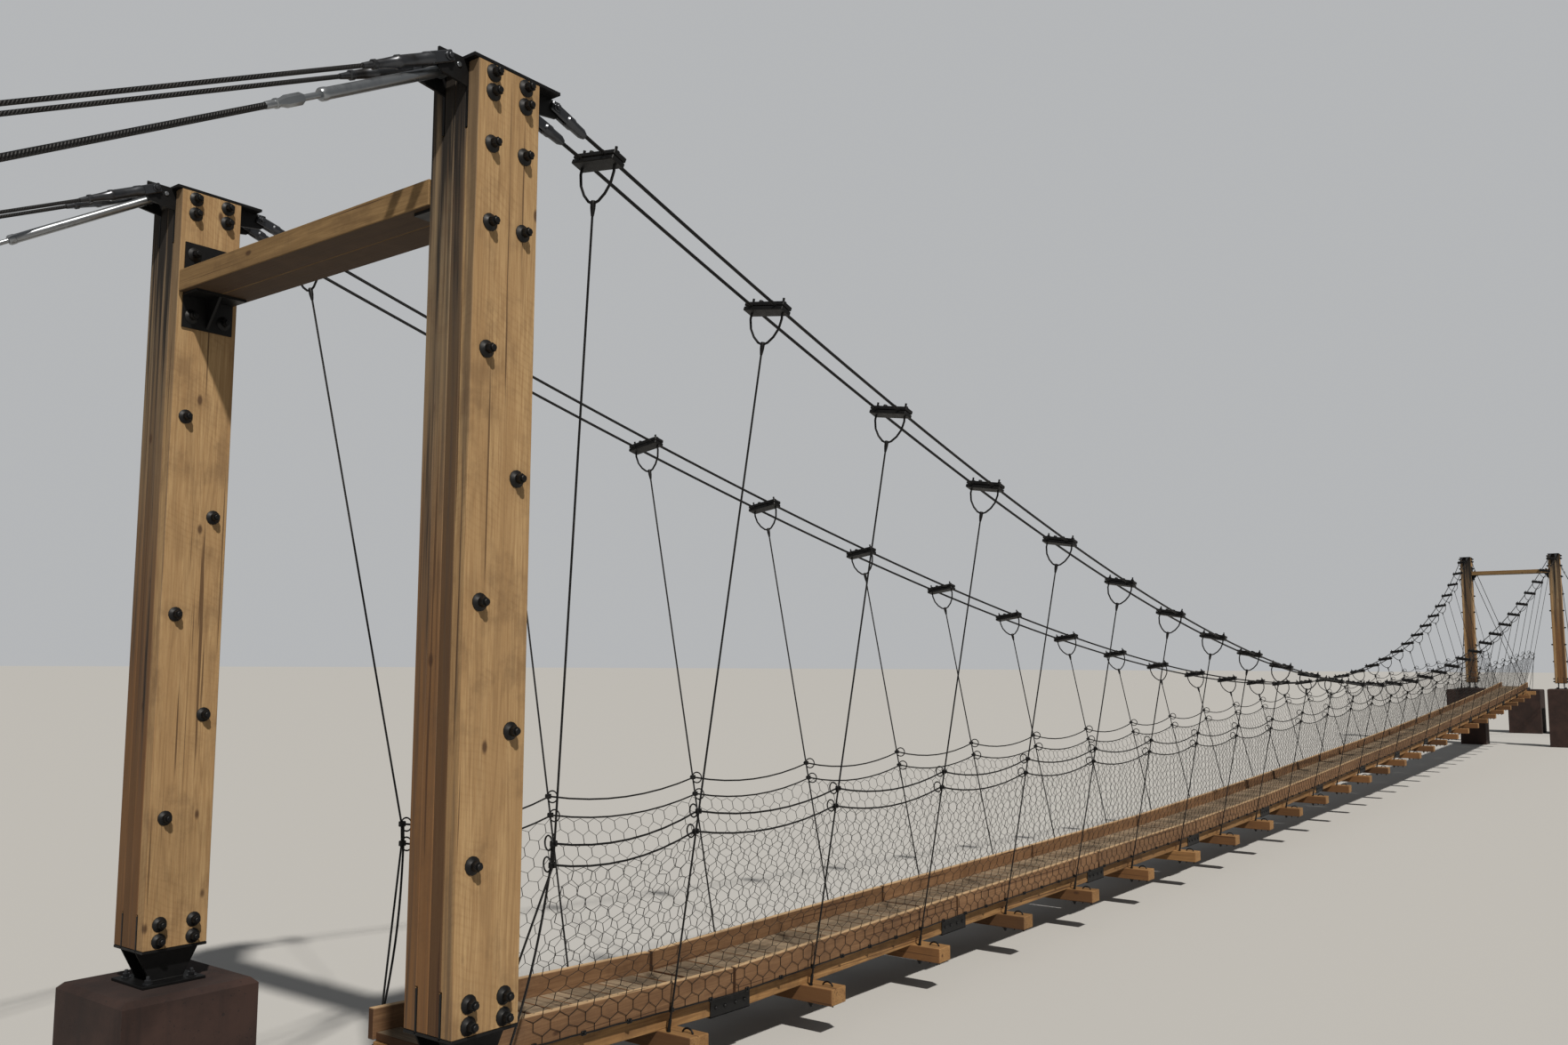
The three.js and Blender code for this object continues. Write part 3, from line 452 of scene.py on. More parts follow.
# %% The steel group
MOTTLE, PATCHES = 55.0, 14.0
steel_group, m, m_in = new_group("steel_surface", {"Plain": None, "Worn": None, "Wear": 0.5, "Rough": 0.5},
                                 "Color Roughness Height")
mottle = m.noise(m.place(), MOTTLE, 5.0, 0.62)
patches = m.ramp(m.noise(m.place(), PATCHES, 4.0, 0.6), 0.5, 0.72)
m.add("NodeGroupOutput", Color=m.mix(m.times(patches, m_in["Wear"]), m_in["Plain"], m_in["Worn"]),
      Roughness=m.plus(m.times(mottle, 0.3), m_in["Rough"]), Height=mottle)
print("steel:", len(steel_group.nodes), "nodes")

# %% [markdown]
# ## The finishes
#
# ### Timbers
#
# The posts are tan and sawn, with black runs. The kerbs are browner with painted highlights on their upper edges,
# the planks are grey brown, and the timbers under the floor are warm, with painted shade on their undersides. The
# crossbeam is painted a little darker than the posts, partly as shade, and the faces that look along the bridge
# carry painted shade, on the posts together with dirt. Each material could be a copy with other colours typed in.
# One function makes them all, so that the list below shows at a glance how they differ. Plain numbers are set on the
# shader itself, because they are the same all over the surface.

# %% Timber materials


def new_material(name):
    """A material, the writer of its nodes and its shader."""
    material = bpy.data.materials.new(name)
    material.use_nodes = True
    return material, Graph(material.node_tree), material.node_tree.nodes["Principled BSDF"]


def bump(graph, shader, height, strength, distance):
    node = graph.add("ShaderNodeBump", Strength=strength, Distance=distance, Height=height)
    graph.fill(shader, Normal=node.outputs["Normal"])


def timber(name, pale, dark, stain, **values):
    """Sawn timber in three colours, with its own share of each effect."""
    material, graph, shader = new_material(name)
    look = graph.group(timber_group, Pale=colour(*pale), Dark=colour(*dark), Stain=colour(*stain), **values)
    graph.fill(shader, Base_Color=look["Color"], Roughness=look["Roughness"], Specular_IOR_Level=0.3)
    bump(graph, shader, look["Height"], 0.5, 0.0009)
    return material


# The posts: dirt with painted shade on the faces that look along the bridge, and runs that are painted shadow under
# the caps.
post_timber = timber("post_timber", (170, 142, 102), (138, 109, 74), (88, 66, 46), Saw=1.0, Runs=1.0, Spots=0.75,
                     Front=0.85)
# The crossbeam is set darker than the posts partly as painted shade, and gets painted shade on its underside.
beam_timber = timber("beam_timber", (147, 119, 80), (115, 90, 57), (78, 58, 39), Saw=1.0, Spots=0.7, Below=0.85)
# The kerbs get a painted highlight on their upper edges; their darker sawn ends also stand in for shade in the joint
# gaps.
kerb_timber = timber("kerb_timber", (138, 106, 76), (106, 77, 52), (66, 48, 36), Spots=0.8, Range=0.28, Cut=0.85,
                     Top=0.7)
# The beams get painted shade on their undersides, and the transoms also on the faces that look along the bridge.
frame_timber = timber("frame_timber", (160, 124, 80), (118, 86, 52), (70, 50, 34), Spots=0.8, Range=0.3, Below=0.6)
transom_timber = timber("transom_timber", (162, 126, 82), (124, 90, 54), (70, 50, 34), Spots=0.7, Range=0.3,
                        Front=0.85, Below=0.6)
# The planks' narrow faces get painted shade, so that the gaps read as dark lines.
deck_timber = timber("deck_timber", (154, 137, 114), (114, 98, 79), (70, 59, 48), Spots=0.9, Range=0.45, Front=1.0)
print("timbers", [material.name for material in bpy.data.materials if "timber" in material.name])

# %% [markdown]
# ### Steels and rope
#
# The plates and bolts have a black coat, the sockets are dull grey, and the tubes that tighten the single stays
# are bright zinc. The netting's wire and the ropes are dark. They differ in colour, shine and wear only, so one
# function makes the steels. The rope adds its strands: black grooves in the colour, and their relief as a bump.

# %% Steel and rope materials


def metal(name, plain, worn, rough, metallic, wear=0.5, grit=0.25, shine=0.5):
    """Coated or bare steel with a mottled surface."""
    material, graph, shader = new_material(name)
    look = graph.group(steel_group, Plain=colour(*plain), Worn=colour(*worn), Wear=wear, Rough=rough)
    graph.fill(shader, Base_Color=look["Color"], Roughness=look["Roughness"], Metallic=metallic,
               Specular_IOR_Level=shine)
    bump(graph, shader, look["Height"], grit, 0.0006)
    return material


def rope_material(name, plain, worn, groove):
    """Wire rope: coated strands with dark grooves between them."""
    material, graph, shader = new_material(name)
    strands = graph.group(strand_group)
    look = graph.group(steel_group, Plain=colour(*plain), Worn=colour(*worn), Wear=0.6, Rough=0.33)
    grooved = graph.mix(strands["Gap"], look["Color"], colour(*groove))
    graph.fill(shader, Base_Color=grooved, Roughness=look["Roughness"], Specular_IOR_Level=0.3)
    bump(graph, shader, strands["Height"], 0.8, 0.0012)
    return material


black_steel = metal("black_steel", (8, 8, 9), (19, 17, 15), 0.36, 0.0, wear=0.35, grit=0.1, shine=0.3)
galvanised = metal("galvanised_steel", (152, 156, 160), (100, 104, 110), 0.17, 0.9, wear=0.7, grit=0.12)
socket_steel = metal("socket_steel", (78, 80, 84), (46, 44, 43), 0.19, 0.85, wear=0.9, grit=0.15)
net_wire = metal("net_wire", (16, 14, 12), (30, 25, 20), 0.45, 0.0, shine=0.3)
wire_rope = rope_material("wire_rope", (15, 15, 16), (36, 33, 30), (6, 6, 7))
print("steels and rope", black_steel.name, galvanised.name, socket_steel.name, net_wire.name, wire_rope.name)

# %% [markdown]
# ### Concrete
#
# The piers and the blocks are a dark red brown, cloudy, with damp runs down their sides and small pores. Their
# colour is set darker partly as painted shade. Only one material needs these patterns, so they are written straight
# into it instead of into a group.

# %% The concrete


def concrete_material():
    material, graph, shader = new_material("stained_concrete")
    place = graph.place()
    cloud = graph.ramp(graph.noise(place, 5.0, 6.0, 0.65), 0.35, 0.68)
    grit = graph.noise(place, 210.0, 4.0, 0.7)
    upright = graph.vector("MULTIPLY", place, (26.0, 26.0, 1.6))
    runs = graph.ramp(graph.noise(upright, 1.0, 4.0), 0.5, 0.75)
    pores = graph.ramp(graph.noise(place, 90.0, 2.0), 0.66, 0.74)
    # The base colours are set darker partly as painted shade.
    base = graph.mix(cloud, colour(38, 24, 20), colour(55, 37, 31))
    stained = graph.mix(graph.times(runs, 0.55), base, colour(29, 19, 17))
    pitted = graph.mix(graph.times(pores, 0.6), stained, colour(21, 15, 14))
    graph.fill(shader, Base_Color=pitted, Roughness=0.93)
    bump(graph, shader, graph.minus(graph.times(grit, 0.4), graph.times(pores, 0.6)), 0.5, 0.0015)
    return material


concrete = concrete_material()
print("made", concrete.name)

# %% [markdown]
# ## Making meshes
#
# Every piece below is built from small closed shapes: chamfered boards, flat plates, round bars and turned parts.
# Each shape could be an object of its own, but the bridge has thousands, which would be slow and hard to name. So
# `Gather` collects the shapes of one piece and makes a single mesh of them. It also stores what the materials
# read: each shape's board number and grain direction, each point's rise, and the winding of a rope.

# %% The gatherer
rng = random.Random(5884)
POST_HEIGHT = 3435
made = {}


class Gather:
    """Collects closed shapes in the site's millimetres, then makes one named piece of them."""

    def __init__(self):
        self.points, self.faces, self.boards, self.alongs, self.strands = [], [], [], [], []
        self.count = 0

    def add(self, points, faces, board=0.0, along=(1, 0, 0), strands=None):
        points = np.asarray(points, float)
        self.points.append(points)
        self.faces.extend([tuple(int(i) + self.count for i in face) for face in faces])
        self.boards.append(np.full(len(points), board))
        self.alongs.append(np.tile(np.asarray(along, float), (len(points), 1)))
        corners = sum(len(face) for face in faces)
        self.strands.append(np.zeros((corners, 3)) if strands is None else np.asarray(strands, float))
        self.count += len(points)

    def make(self, name, material, slot, stands_for=(), smooth=35, move=None):
        """One mesh of all the shapes. Edges sharper than smooth degrees stay sharp."""
        points = np.concatenate(self.points)
        rise = np.clip(points[:, 2] / POST_HEIGHT, 0, 1)
        mesh = bpy.data.meshes.new(name)
        mesh.from_pydata(site(points if move is None else move(points)).tolist(), [], self.faces)
        carried = [("board", "FLOAT", "POINT", np.concatenate(self.boards)), ("rise", "FLOAT", "POINT", rise),
                   ("along", "FLOAT_VECTOR", "POINT", np.concatenate(self.alongs))]
        strands = np.concatenate(self.strands)
        if strands.any():
            carried.append(("strand", "FLOAT_VECTOR", "CORNER", strands))
        for label, kind, domain, values in carried:
            mesh.attributes.new(label, kind, domain).data.foreach_set(
                "value" if kind == "FLOAT" else "vector", values.ravel())
        mesh.materials.append(material)
        mesh.shade_smooth()
        mesh.set_sharp_from_angle(angle=math.radians(smooth))
        piece = put_in_scene(name, mesh)
        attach(piece, "root")
        if stands_for:
            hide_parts(*stands_for)
        made[name] = sum(len(face) - 2 for face in self.faces)
        print(f"made {name}: {made[name]} triangles")


print("an empty piece has", Gather().count, "corners")

# %% [markdown]
# ### Chamfered boards
#
# No real board has a razor edge: a narrow chamfer catches the light along it. A bevel modifier would do, but its
# result is hard to bend along the sloping floor before it is applied. Writing the 24 corners directly is quick,
# and lets `shape` bend them. A board that is given no number draws one.

# %% Chamfered boards


def chamfered(gather, low, high, chamfer=3.0, along=(1, 0, 0), board=None, shape=None):
    """A board with chamfered edges between two corners. shape can bend its points."""
    low, high = np.minimum(low, high).astype(float), np.maximum(low, high).astype(float)
    points, index = [], {}
    for corner in range(8):
        ends = [(corner >> axis) & 1 for axis in range(3)]
        for axis in range(3):
            point = [high[i] if ends[i] else low[i] for i in range(3)]
            for i in range(3):
                if i != axis:
                    point[i] += -chamfer if ends[i] else chamfer
            index[corner, axis] = len(points)
            points.append(point)
    faces = []
    for axis in range(3):
        b, c = (axis + 1) % 3, (axis + 2) % 3
        for end in (0, 1):
            ring = [(0, 0), (1, 0), (1, 1), (0, 1)]
            face = [index[(end << axis) | (u << b) | (v << c), axis] for u, v in ring]
            faces.append(face if end else face[::-1])
        for u in (0, 1):
            for v in (0, 1):
                here, there = (u << b) | (v << c), (1 << axis) | (u << b) | (v << c)
                edge = [index[here, b], index[there, b], index[there, c], index[here, c]]
                faces.append(edge if u == v else edge[::-1])
    for corner in range(8):
        face = [index[corner, axis] for axis in range(3)]
        faces.append(face if bin(corner).count("1") % 2 else face[::-1])
    points = np.array(points) if shape is None else shape(np.array(points))
    gather.add(points, faces, rng.random() if board is None else board, along)


trial = Gather()
chamfered(trial, (0, 0, 0), (10, 10, 10), board=0)
print("a chamfered board has", trial.count, "corners and", len(trial.faces), "faces")

# %% [markdown]
# ### Bars, ropes and turned parts
#
# Ropes, rods, nuts and sockets are all rings of corners round a line. A curve with a round bevel could make the
# ropes and a screw modifier the turned parts. One tube function serves both here: the sides and the radius of each
# ring are free, so six sides give a nut and ten a rope, and the winding of the strands is known at every corner.

# %% Rings of corners


def unit(v):
    return v / np.linalg.norm(v, axis=-1, keepdims=True)


def tube_faces(rings, sides, closed=False):
    """The faces between rings of corners, and the turn and the ring of each face's corners."""
    faces, corners = [], []
    for r in range(rings if closed else rings - 1):
        after = (r + 1) % rings
        for i in range(sides):
            j = (i + 1) % sides
            faces.append((after * sides + i, after * sides + j, r * sides + j, r * sides + i))
            corners += [(i, r + 1), (i + 1, r + 1), (i + 1, r), (i, r)]
    return faces, corners


def tube(gather, points, ahead, side, radii, sides, strand):
    """Rings of corners round points, joined and closed at both ends. side helps to find which way is up."""
    up = unit(np.cross(ahead, side))
    out = np.cross(up, ahead)
    turn = 2 * np.pi * np.arange(sides)[None, :, None] / sides
    around = np.cos(turn) * out[:, None] + np.sin(turn) * up[:, None]
    places = (points[:, None] + around * radii[:, None, None]).reshape(-1, 3)
    faces, corners = tube_faces(len(points), sides)
    first, last = tuple(range(sides)), tuple(range(len(places) - 1, len(places) - sides - 1, -1))
    strands = None
    if strand:
        run = np.r_[0, np.cumsum(np.linalg.norm(np.diff(points, axis=0), axis=1))] / 1000
        strands = [(i / sides, run[r], 1.0) for i, r in corners] + [(0.0, 0.0, 1.0)] * (2 * sides)
    gather.add(places, [*faces, first, last], strands=strands)


print("two rings of six corners give", len(tube_faces(2, 6)[0]), "faces")

# %% Bars, ropes and turned parts


def rod(gather, points, radius, sides=8, strand=False, side=(0, 1, 0.02)):
    """A round bar or rope through points."""
    points = np.asarray(points, float)
    ahead = unit(np.gradient(points, axis=0))
    tube(gather, points, ahead, side, np.full(len(points), radius, float), sides, strand)


def lathe(gather, centre, axis, profile, sides=14):
    """A turned shape: profile holds (distance along the axis, radius) from one end to the other."""
    axis = unit(np.asarray(axis, float))
    distance, radii = np.array(profile, float).T
    points = np.asarray(centre, float) + axis * distance[:, None]
    side = (0, 0, 1) if abs(axis[2]) < 0.9 else (1, 0, 0)
    tube(gather, points, np.tile(axis, (len(points), 1)), side, radii, sides, False)


trial = Gather()
lathe(trial, (0, 0, 0), (0, 0, 1), [(0, 10), (8, 10)], 6)
print("a plain nut has", trial.count, "corners and", len(trial.faces), "faces")

# %% [markdown]
# ### Plates
#
# Cut plates and the notched planks of the posts are an outline with a thickness. Their corners could be written one
# by one, as for the boards, but the built-in mesh tools do this better: the outline becomes a face, is pushed out,
# and all its edges are rounded a little, in a scratch mesh. Those tools may return the corners in another order each
# time, so the corners are sorted by place, and every run gives the same mesh.

# %% Plates


def from_lowest(face):
    """The same face, told from its lowest corner on."""
    start = face.index(min(face))
    return face[start:] + face[:start]


def plate(gather, outline, thick_from, thick_to, axis, board=0.0, bevel=1.5):
    """A flat plate: an outline in two axes, made thick along the third. Its grain runs up."""
    mesh = bmesh.new()
    u_axis, v_axis = (i for i in range(3) if i != axis)
    corners = []
    for u, v in outline:
        point = [0.0, 0.0, 0.0]
        point[u_axis], point[v_axis], point[axis] = u, v, thick_from
        corners.append(mesh.verts.new(point))
    moved = bmesh.ops.extrude_face_region(mesh, geom=[mesh.faces.new(corners)])
    shift = [0.0, 0.0, 0.0]
    shift[axis] = thick_to - thick_from
    bmesh.ops.translate(mesh, verts=[v for v in moved["geom"] if isinstance(v, bmesh.types.BMVert)], vec=shift)
    bmesh.ops.bevel(mesh, geom=list(mesh.edges), offset=bevel, segments=1, affect="EDGES")
    bmesh.ops.recalc_face_normals(mesh, faces=list(mesh.faces))
    mesh.verts.index_update()
    found = sorted((tuple(v.co), v.index) for v in mesh.verts)
    rank = {index: new for new, (_, index) in enumerate(found)}
    faces = sorted(from_lowest([rank[v.index] for v in face.verts]) for face in mesh.faces)
    mesh.free()
    gather.add([point for point, _ in found], faces, board, (0, 0, 1))


trial = Gather()
plate(trial, [(0, 0), (90, 0), (45, 60)], 0, 10, axis=2)
print("a three-sided plate has", trial.count, "corners and", len(trial.faces), "faces")

# %% [markdown]
# ## The floor's line
#
# The floor is a chain of short straight lengths that dips a little from the near tower and then climbs to the far
# tower. The heights could be typed in again, but the packed kerb already has them: the highest corners at each of
# its joints are read from the frame, so that the planks can't drift from the model.

# %% The line of the floor


def floor_line():
    """The kerb's joints and the height of its top edge there, in the site's millimetres."""
    heights = {}
    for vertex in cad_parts["kerb_left"].data.vertices:
        x = round(vertex.co.x * 1000 / MODEL_SCALE + FAR_X / 2)
        heights[x] = max(heights.get(x, -1e9), vertex.co.z * 1000 / MODEL_SCALE + FLOOR_Z)
    return sorted(heights.items())


joint_x, joint_z = np.array(floor_line(), float).T


def kerb_top(x):
    return np.interp(x, joint_x, joint_z)


def on_floor(points):
    """Points whose height counts from the kerb's top edge, set on the floor's line."""
    points = np.array(points, float)
    points[:, 2] += kerb_top(points[:, 0])
    return points


print("floor joints", len(joint_x), "from", joint_x[0], "to", joint_x[-1])

# %% [markdown]
# ## The walkway
#
# ### Kerb boards
#
# A kerb board stands on edge along each side. At every second hanger the boards end and the next ones begin, with
# an open gap of two centimetres. The packed kerb is one long strip. Cutting gaps into it would change the model,
# so separate boards replace it, and each draws its own grain.

# %% The kerb boards
SIDES = {"left": 1, "right": -1}
KERB_INSIDE, KERB_OUTSIDE, KERB_HEIGHT = 282, 320, 136
JOINT_GAP = 24
for label, side in SIDES.items():
    kerbs = Gather()
    for start, end in zip(joint_x[:-1], joint_x[1:]):
        low = start + (JOINT_GAP / 2 if start > joint_x[0] else 0)
        high = end - (JOINT_GAP / 2 if end < joint_x[-1] else 0)
        chamfered(kerbs, (low, side * KERB_INSIDE, -KERB_HEIGHT), (high, side * KERB_OUTSIDE, 0), shape=on_floor)
    kerbs.make(f"kerb_boards_{label}", kerb_timber, "frame_timber", [f"kerb_{label}"])

# %% [markdown]
# ### Planks
#
# Planks of one width lie across the beams, a few millimetres apart, and every fourth gap is wider. An array
# modifier would lay them all alike. A loop can vary each gap and height a little, as a carpenter's work does, and
# it follows the floor's slope. Their narrow faces get painted shade, so that the gaps read as dark lines.

# %% The planks
PLANK_TOP, PLANK_UNDER = 104, 142
PLANK_PITCH, PLANK_GAP, WIDE_GAP, NARROW_GAP = 143.4, 7, 2.0, 0.8
GAP_RANGE, UNEVEN = (0.8, 1.3), (0, 1.6)
cuts = [0, 4, 8, 12, len(joint_x) - 1]
SECTIONS = list(zip((1, 2, 3, 4), cuts[:-1], cuts[1:]))


def lengths(first, last):
    """The start and the end of each straight length from one joint to another."""
    return zip(joint_x[first:last], joint_x[first + 1 : last + 1])


for number, first, last in SECTIONS:
    planks = Gather()
    for start, end in lengths(first, last):
        room = end - start - JOINT_GAP
        count = round(room / PLANK_PITCH)
        pitch = room / count
        for k in range(count):
            gap = PLANK_GAP * (WIDE_GAP if k % 4 == 1 else NARROW_GAP) * rng.uniform(*GAP_RANGE)
            x0 = start + JOINT_GAP / 2 + k * pitch + gap / 2
            top = -PLANK_TOP - rng.uniform(*UNEVEN)
            half = KERB_INSIDE - 1.5
            low, high = (x0, -half, -PLANK_UNDER + 0.8), (x0 + pitch - gap, half, top)
            chamfered(planks, low, high, 2.5, along=(0, 1, 0), shape=on_floor)
    planks.make(f"deck_boards_{number}", deck_timber, "deck_timber", [f"deck_planks_{number}"])

# %% [markdown]
# ### Beams, transoms and saddles
#
# Two beams run under the planks. Every bay has a transom under them, which the hangers carry. The packed frame has
# all of it in one solid, with one finish. Here they are three pieces, because timber along the bridge, timber
# across it and steel each need their own. First come their sizes and the places of the transoms.

# %% The sizes under the floor
STRINGER_OUTSIDE, STRINGER_SIDE = 286, 89
TRANSOM_TOP, TRANSOM_WIDTH, TRANSOM_HEIGHT, TRANSOM_HALF = 228, 145, 90, 499
BAY, BAYS, FIRST_TRANSOM = 1219.2, 30, 855
SADDLE_LENGTH, SADDLE_THICK = 331, 6
SADDLE_BOLTS = (-120, -45, 45, 120)
transom_x = FIRST_TRANSOM + BAY * np.arange(BAYS)


def transoms(first, last):
    """The places of the transoms between two joints."""
    return transom_x[(transom_x > joint_x[first]) & (transom_x < joint_x[last])]


print("transoms", len(transom_x), "from", transom_x[0], "to", transom_x[-1])

# %% [markdown]
# ### Saddles
#
# A black steel channel wraps round each beam where two lengths meet, with four bolts on its outer cheek. It could be
# one bent sheet, but the floor's slope changes at every joint. Three plates that follow the floor's line bend with
# it by themselves.

# %% A saddle


def saddle(gather, x, side):
    """A channel of three plates round the beams' ends, which follows the floor's slope."""
    half, inner = SADDLE_LENGTH / 2, STRINGER_OUTSIDE - STRINGER_SIDE
    outer = STRINGER_OUTSIDE + SADDLE_THICK
    low, top = -PLANK_UNDER - STRINGER_SIDE - SADDLE_THICK - 3, -PLANK_UNDER - 5
    for y0, y1, z1 in ((inner - SADDLE_THICK, inner, top), (STRINGER_OUTSIDE, outer, top),
                       (inner - SADDLE_THICK, outer, low + SADDLE_THICK)):
        chamfered(gather, (x - half, side * y0, low), (x + half, side * y1, z1), 1.2, shape=on_floor)
    for dx in SADDLE_BOLTS:
        at = (x + dx, side * outer, float(kerb_top(x + dx)) - PLANK_UNDER - 50)
        lathe(gather, at, (0, side, 0), [(-1, 11), (3, 11), (6, 7), (9, 5)], 8)


print("a saddle is", SADDLE_LENGTH, "mm long and", STRINGER_SIDE + 2 * SADDLE_THICK, "mm wide")

# %% [markdown]
# ### The three pieces of each section
#
# The beams are butted end to end inside the saddles, with a few millimetres between them, and the transoms lie
# across below. An array modifier could space the transoms, but the ends of the sections fall between them, so a loop
# takes each section's own.

# %% Beams, transoms and saddles
for number, first, last in SECTIONS:
    beams, across, saddles = Gather(), Gather(), Gather()
    for side in (-1, 1):
        for a, b in lengths(first, last):
            low = (a + 4, side * (STRINGER_OUTSIDE - STRINGER_SIDE), -PLANK_UNDER - STRINGER_SIDE)
            chamfered(beams, low, (b - 4, side * STRINGER_OUTSIDE, -PLANK_UNDER - 0.6), shape=on_floor)
        for i in range(first + 1, min(last, len(joint_x) - 2) + 1):
            saddle(saddles, joint_x[i], side)
    for x in transoms(first, last):
        low = (x - TRANSOM_WIDTH / 2, -TRANSOM_HALF, -TRANSOM_TOP - TRANSOM_HEIGHT)
        high = (x + TRANSOM_WIDTH / 2, TRANSOM_HALF, -TRANSOM_TOP)
        chamfered(across, low, high, 3.5, along=(0, 1, 0), shape=on_floor)
    node = [f"floor_frame_{number}"]
    beams.make(f"floor_beams_{number}", frame_timber, "frame_timber", node)
    across.make(f"transoms_{number}", transom_timber, "frame_timber", node)
    saddles.make(f"beam_saddles_{number}", black_steel, "black_steel", node)

# %% [markdown]
# ## The towers
#
# ### Posts
#
# Each post is four planks bolted side by side. Steel plates sit in sawn slots at the foot and at the head. The
# slots fall on the outer seams, so each outer plank is notched there, as the packed post shows. A texture could
# fake the seams, but they show at the ends and in the light as real steps, so the planks are separate shapes. The
# plank on the sunny side gets painted sunlight: its board number is high, so the timber group paints it a little
# lighter and keeps most of the painted shade and the runs off it.

# %% The posts
POST_DEPTH, POST_WIDTH, POST_CENTRE_Y = 292, 260, 1045
SLOT_OFFSET, SLOT_WIDTH, SLOT_FOOT, SLOT_HEAD = 65, 12, 150, 250
PLANK_THICK, SEAM, OUTER_PLAY = POST_WIDTH / 4, 0.8, 0.5
# The sunny plank's high number stands for painted sunlight; the others take dirt with painted shade.
SUNLIT_BOARD, WEATHERED_AND_SHADED, ROUGH_SAWN = 0.98, (0, 0.85), (0, 1.5)
TOWERS = {"near": None, "far": at_far_tower}


def tower_posts():
    """The name, the centre's Y, the side and the mover of each post. The far tower is turned half round."""
    for tower, move in TOWERS.items():
        for side in (-1, 1):
            left = (side > 0) == (move is None)
            yield f"{tower}_{'left' if left else 'right'}", side * POST_CENTRE_Y, side, move


def post_plank(gather, centre_y, k):
    """One of the four planks, with a notch at both ends where a slot meets its edge."""
    y0 = centre_y + k * PLANK_THICK - POST_WIDTH / 2 + (OUTER_PLAY if k == 0 else SEAM)
    y1 = centre_y + (k + 1) * PLANK_THICK - POST_WIDTH / 2 - (OUTER_PLAY if k == 3 else SEAM)
    back, edge, notched = (y0, y1, y1 - SLOT_WIDTH / 2) if k in (0, 2) else (y1, y0, y0 + SLOT_WIDTH / 2)
    head = POST_HEIGHT - SLOT_HEAD
    outline = [(back, 0), (notched, 0), (notched, SLOT_FOOT), (edge, SLOT_FOOT), (edge, head), (notched, head),
               (notched, POST_HEIGHT), (back, POST_HEIGHT)]
    board = SUNLIT_BOARD if k == 0 else rng.uniform(*WEATHERED_AND_SHADED)
    plate(gather, outline, rng.uniform(*ROUGH_SAWN), POST_DEPTH - rng.uniform(*ROUGH_SAWN), 0, board, bevel=2.2)


for name, centre_y, side, move in tower_posts():
    post = Gather()
    for k in range(4):
        post_plank(post, centre_y, k)
    post.make(f"post_planks_{name}", post_timber, "post_timber", [f"post_{name}"], move=move)

# %% [markdown]
# ### Bolts through the posts
#
# Rods run through the planks from face to face, each with a domed washer and a nut. They come in pairs at the
# steel plates and one at a time between them, a little to this side and that of the middle. One bolt could be
# modelled once and copied as objects. Here `bolt` turns three small parts on the spot, and all bolts of a post
# share one mesh, which is lighter than dozens of objects.

# %% The bolts
PAIR_SPREAD = 77
PAIR_ROWS = (36, 108, POST_HEIGHT - 108, POST_HEIGHT - 36, 2839, 3132)
SINGLE_ROWS = (567, 1018, 1470, 1922, 2373)
BRACKET_THICK, BRACKET_LOW, BRACKET_HIGH = 8, 2785, 3185


def fasten(gather, at, axis, *parts):
    """Parts on one axis, such as a washer, a nut and a rod's end: each has its number of sides and a profile."""
    for sides, *profile in parts:
        lathe(gather, at, axis, profile, sides)


def bolt(gather, centre, axis, washer=33, nut=19, tall=25, rod_radius=12, reach=45, dome=10):
    """A domed washer, a nut and the end of the rod, standing on a face at centre."""
    fasten(gather, centre, axis,
           (14, (-1, washer), (3, washer), (dome, washer * 0.62), (dome + 3, washer * 0.55)),
           (6, (dome, nut - 1.5), (dome + 2, nut), (dome + tall - 2, nut), (dome + tall, nut - 1.5)),
           (10, (dome + tall - 4, rod_radius), (reach - 2, rod_radius), (reach, rod_radius - 2)))


for name, centre_y, side, move in tower_posts():
    bolts = Gather()
    for outward in (-1, 1):
        face = centre_y + outward * POST_WIDTH / 2
        for z in PAIR_ROWS:
            on_bracket = outward * side < 0 and BRACKET_LOW < z < BRACKET_HIGH
            lift = outward * BRACKET_THICK if on_bracket else 0
            for dx in (-PAIR_SPREAD, PAIR_SPREAD):
                bolt(bolts, (POST_DEPTH / 2 + dx, face + lift, z), (0, outward, 0))
        for k, z in enumerate(SINGLE_ROWS):
            dx = PAIR_SPREAD if k % 2 else -PAIR_SPREAD
            bolt(bolts, (POST_DEPTH / 2 + dx, face, z), (0, outward, 0))
    bolts.make(f"post_bolts_{name}", black_steel, "black_steel", move=move)

# %% [markdown]
# ### Shoes
#
# A shoe carries each post on its pier: a base plate on the concrete, two tapered plates that rise into the slots,
# and a small plate under the timber. Four galvanised rods stand up out of the concrete through the base plate. The
# packed shoe has this shape with sharp edges. A finish alone would leave it bare, so it is built again with
# rounded edges, weld beads along the plates, and rods and nuts in a lighter grey metal.

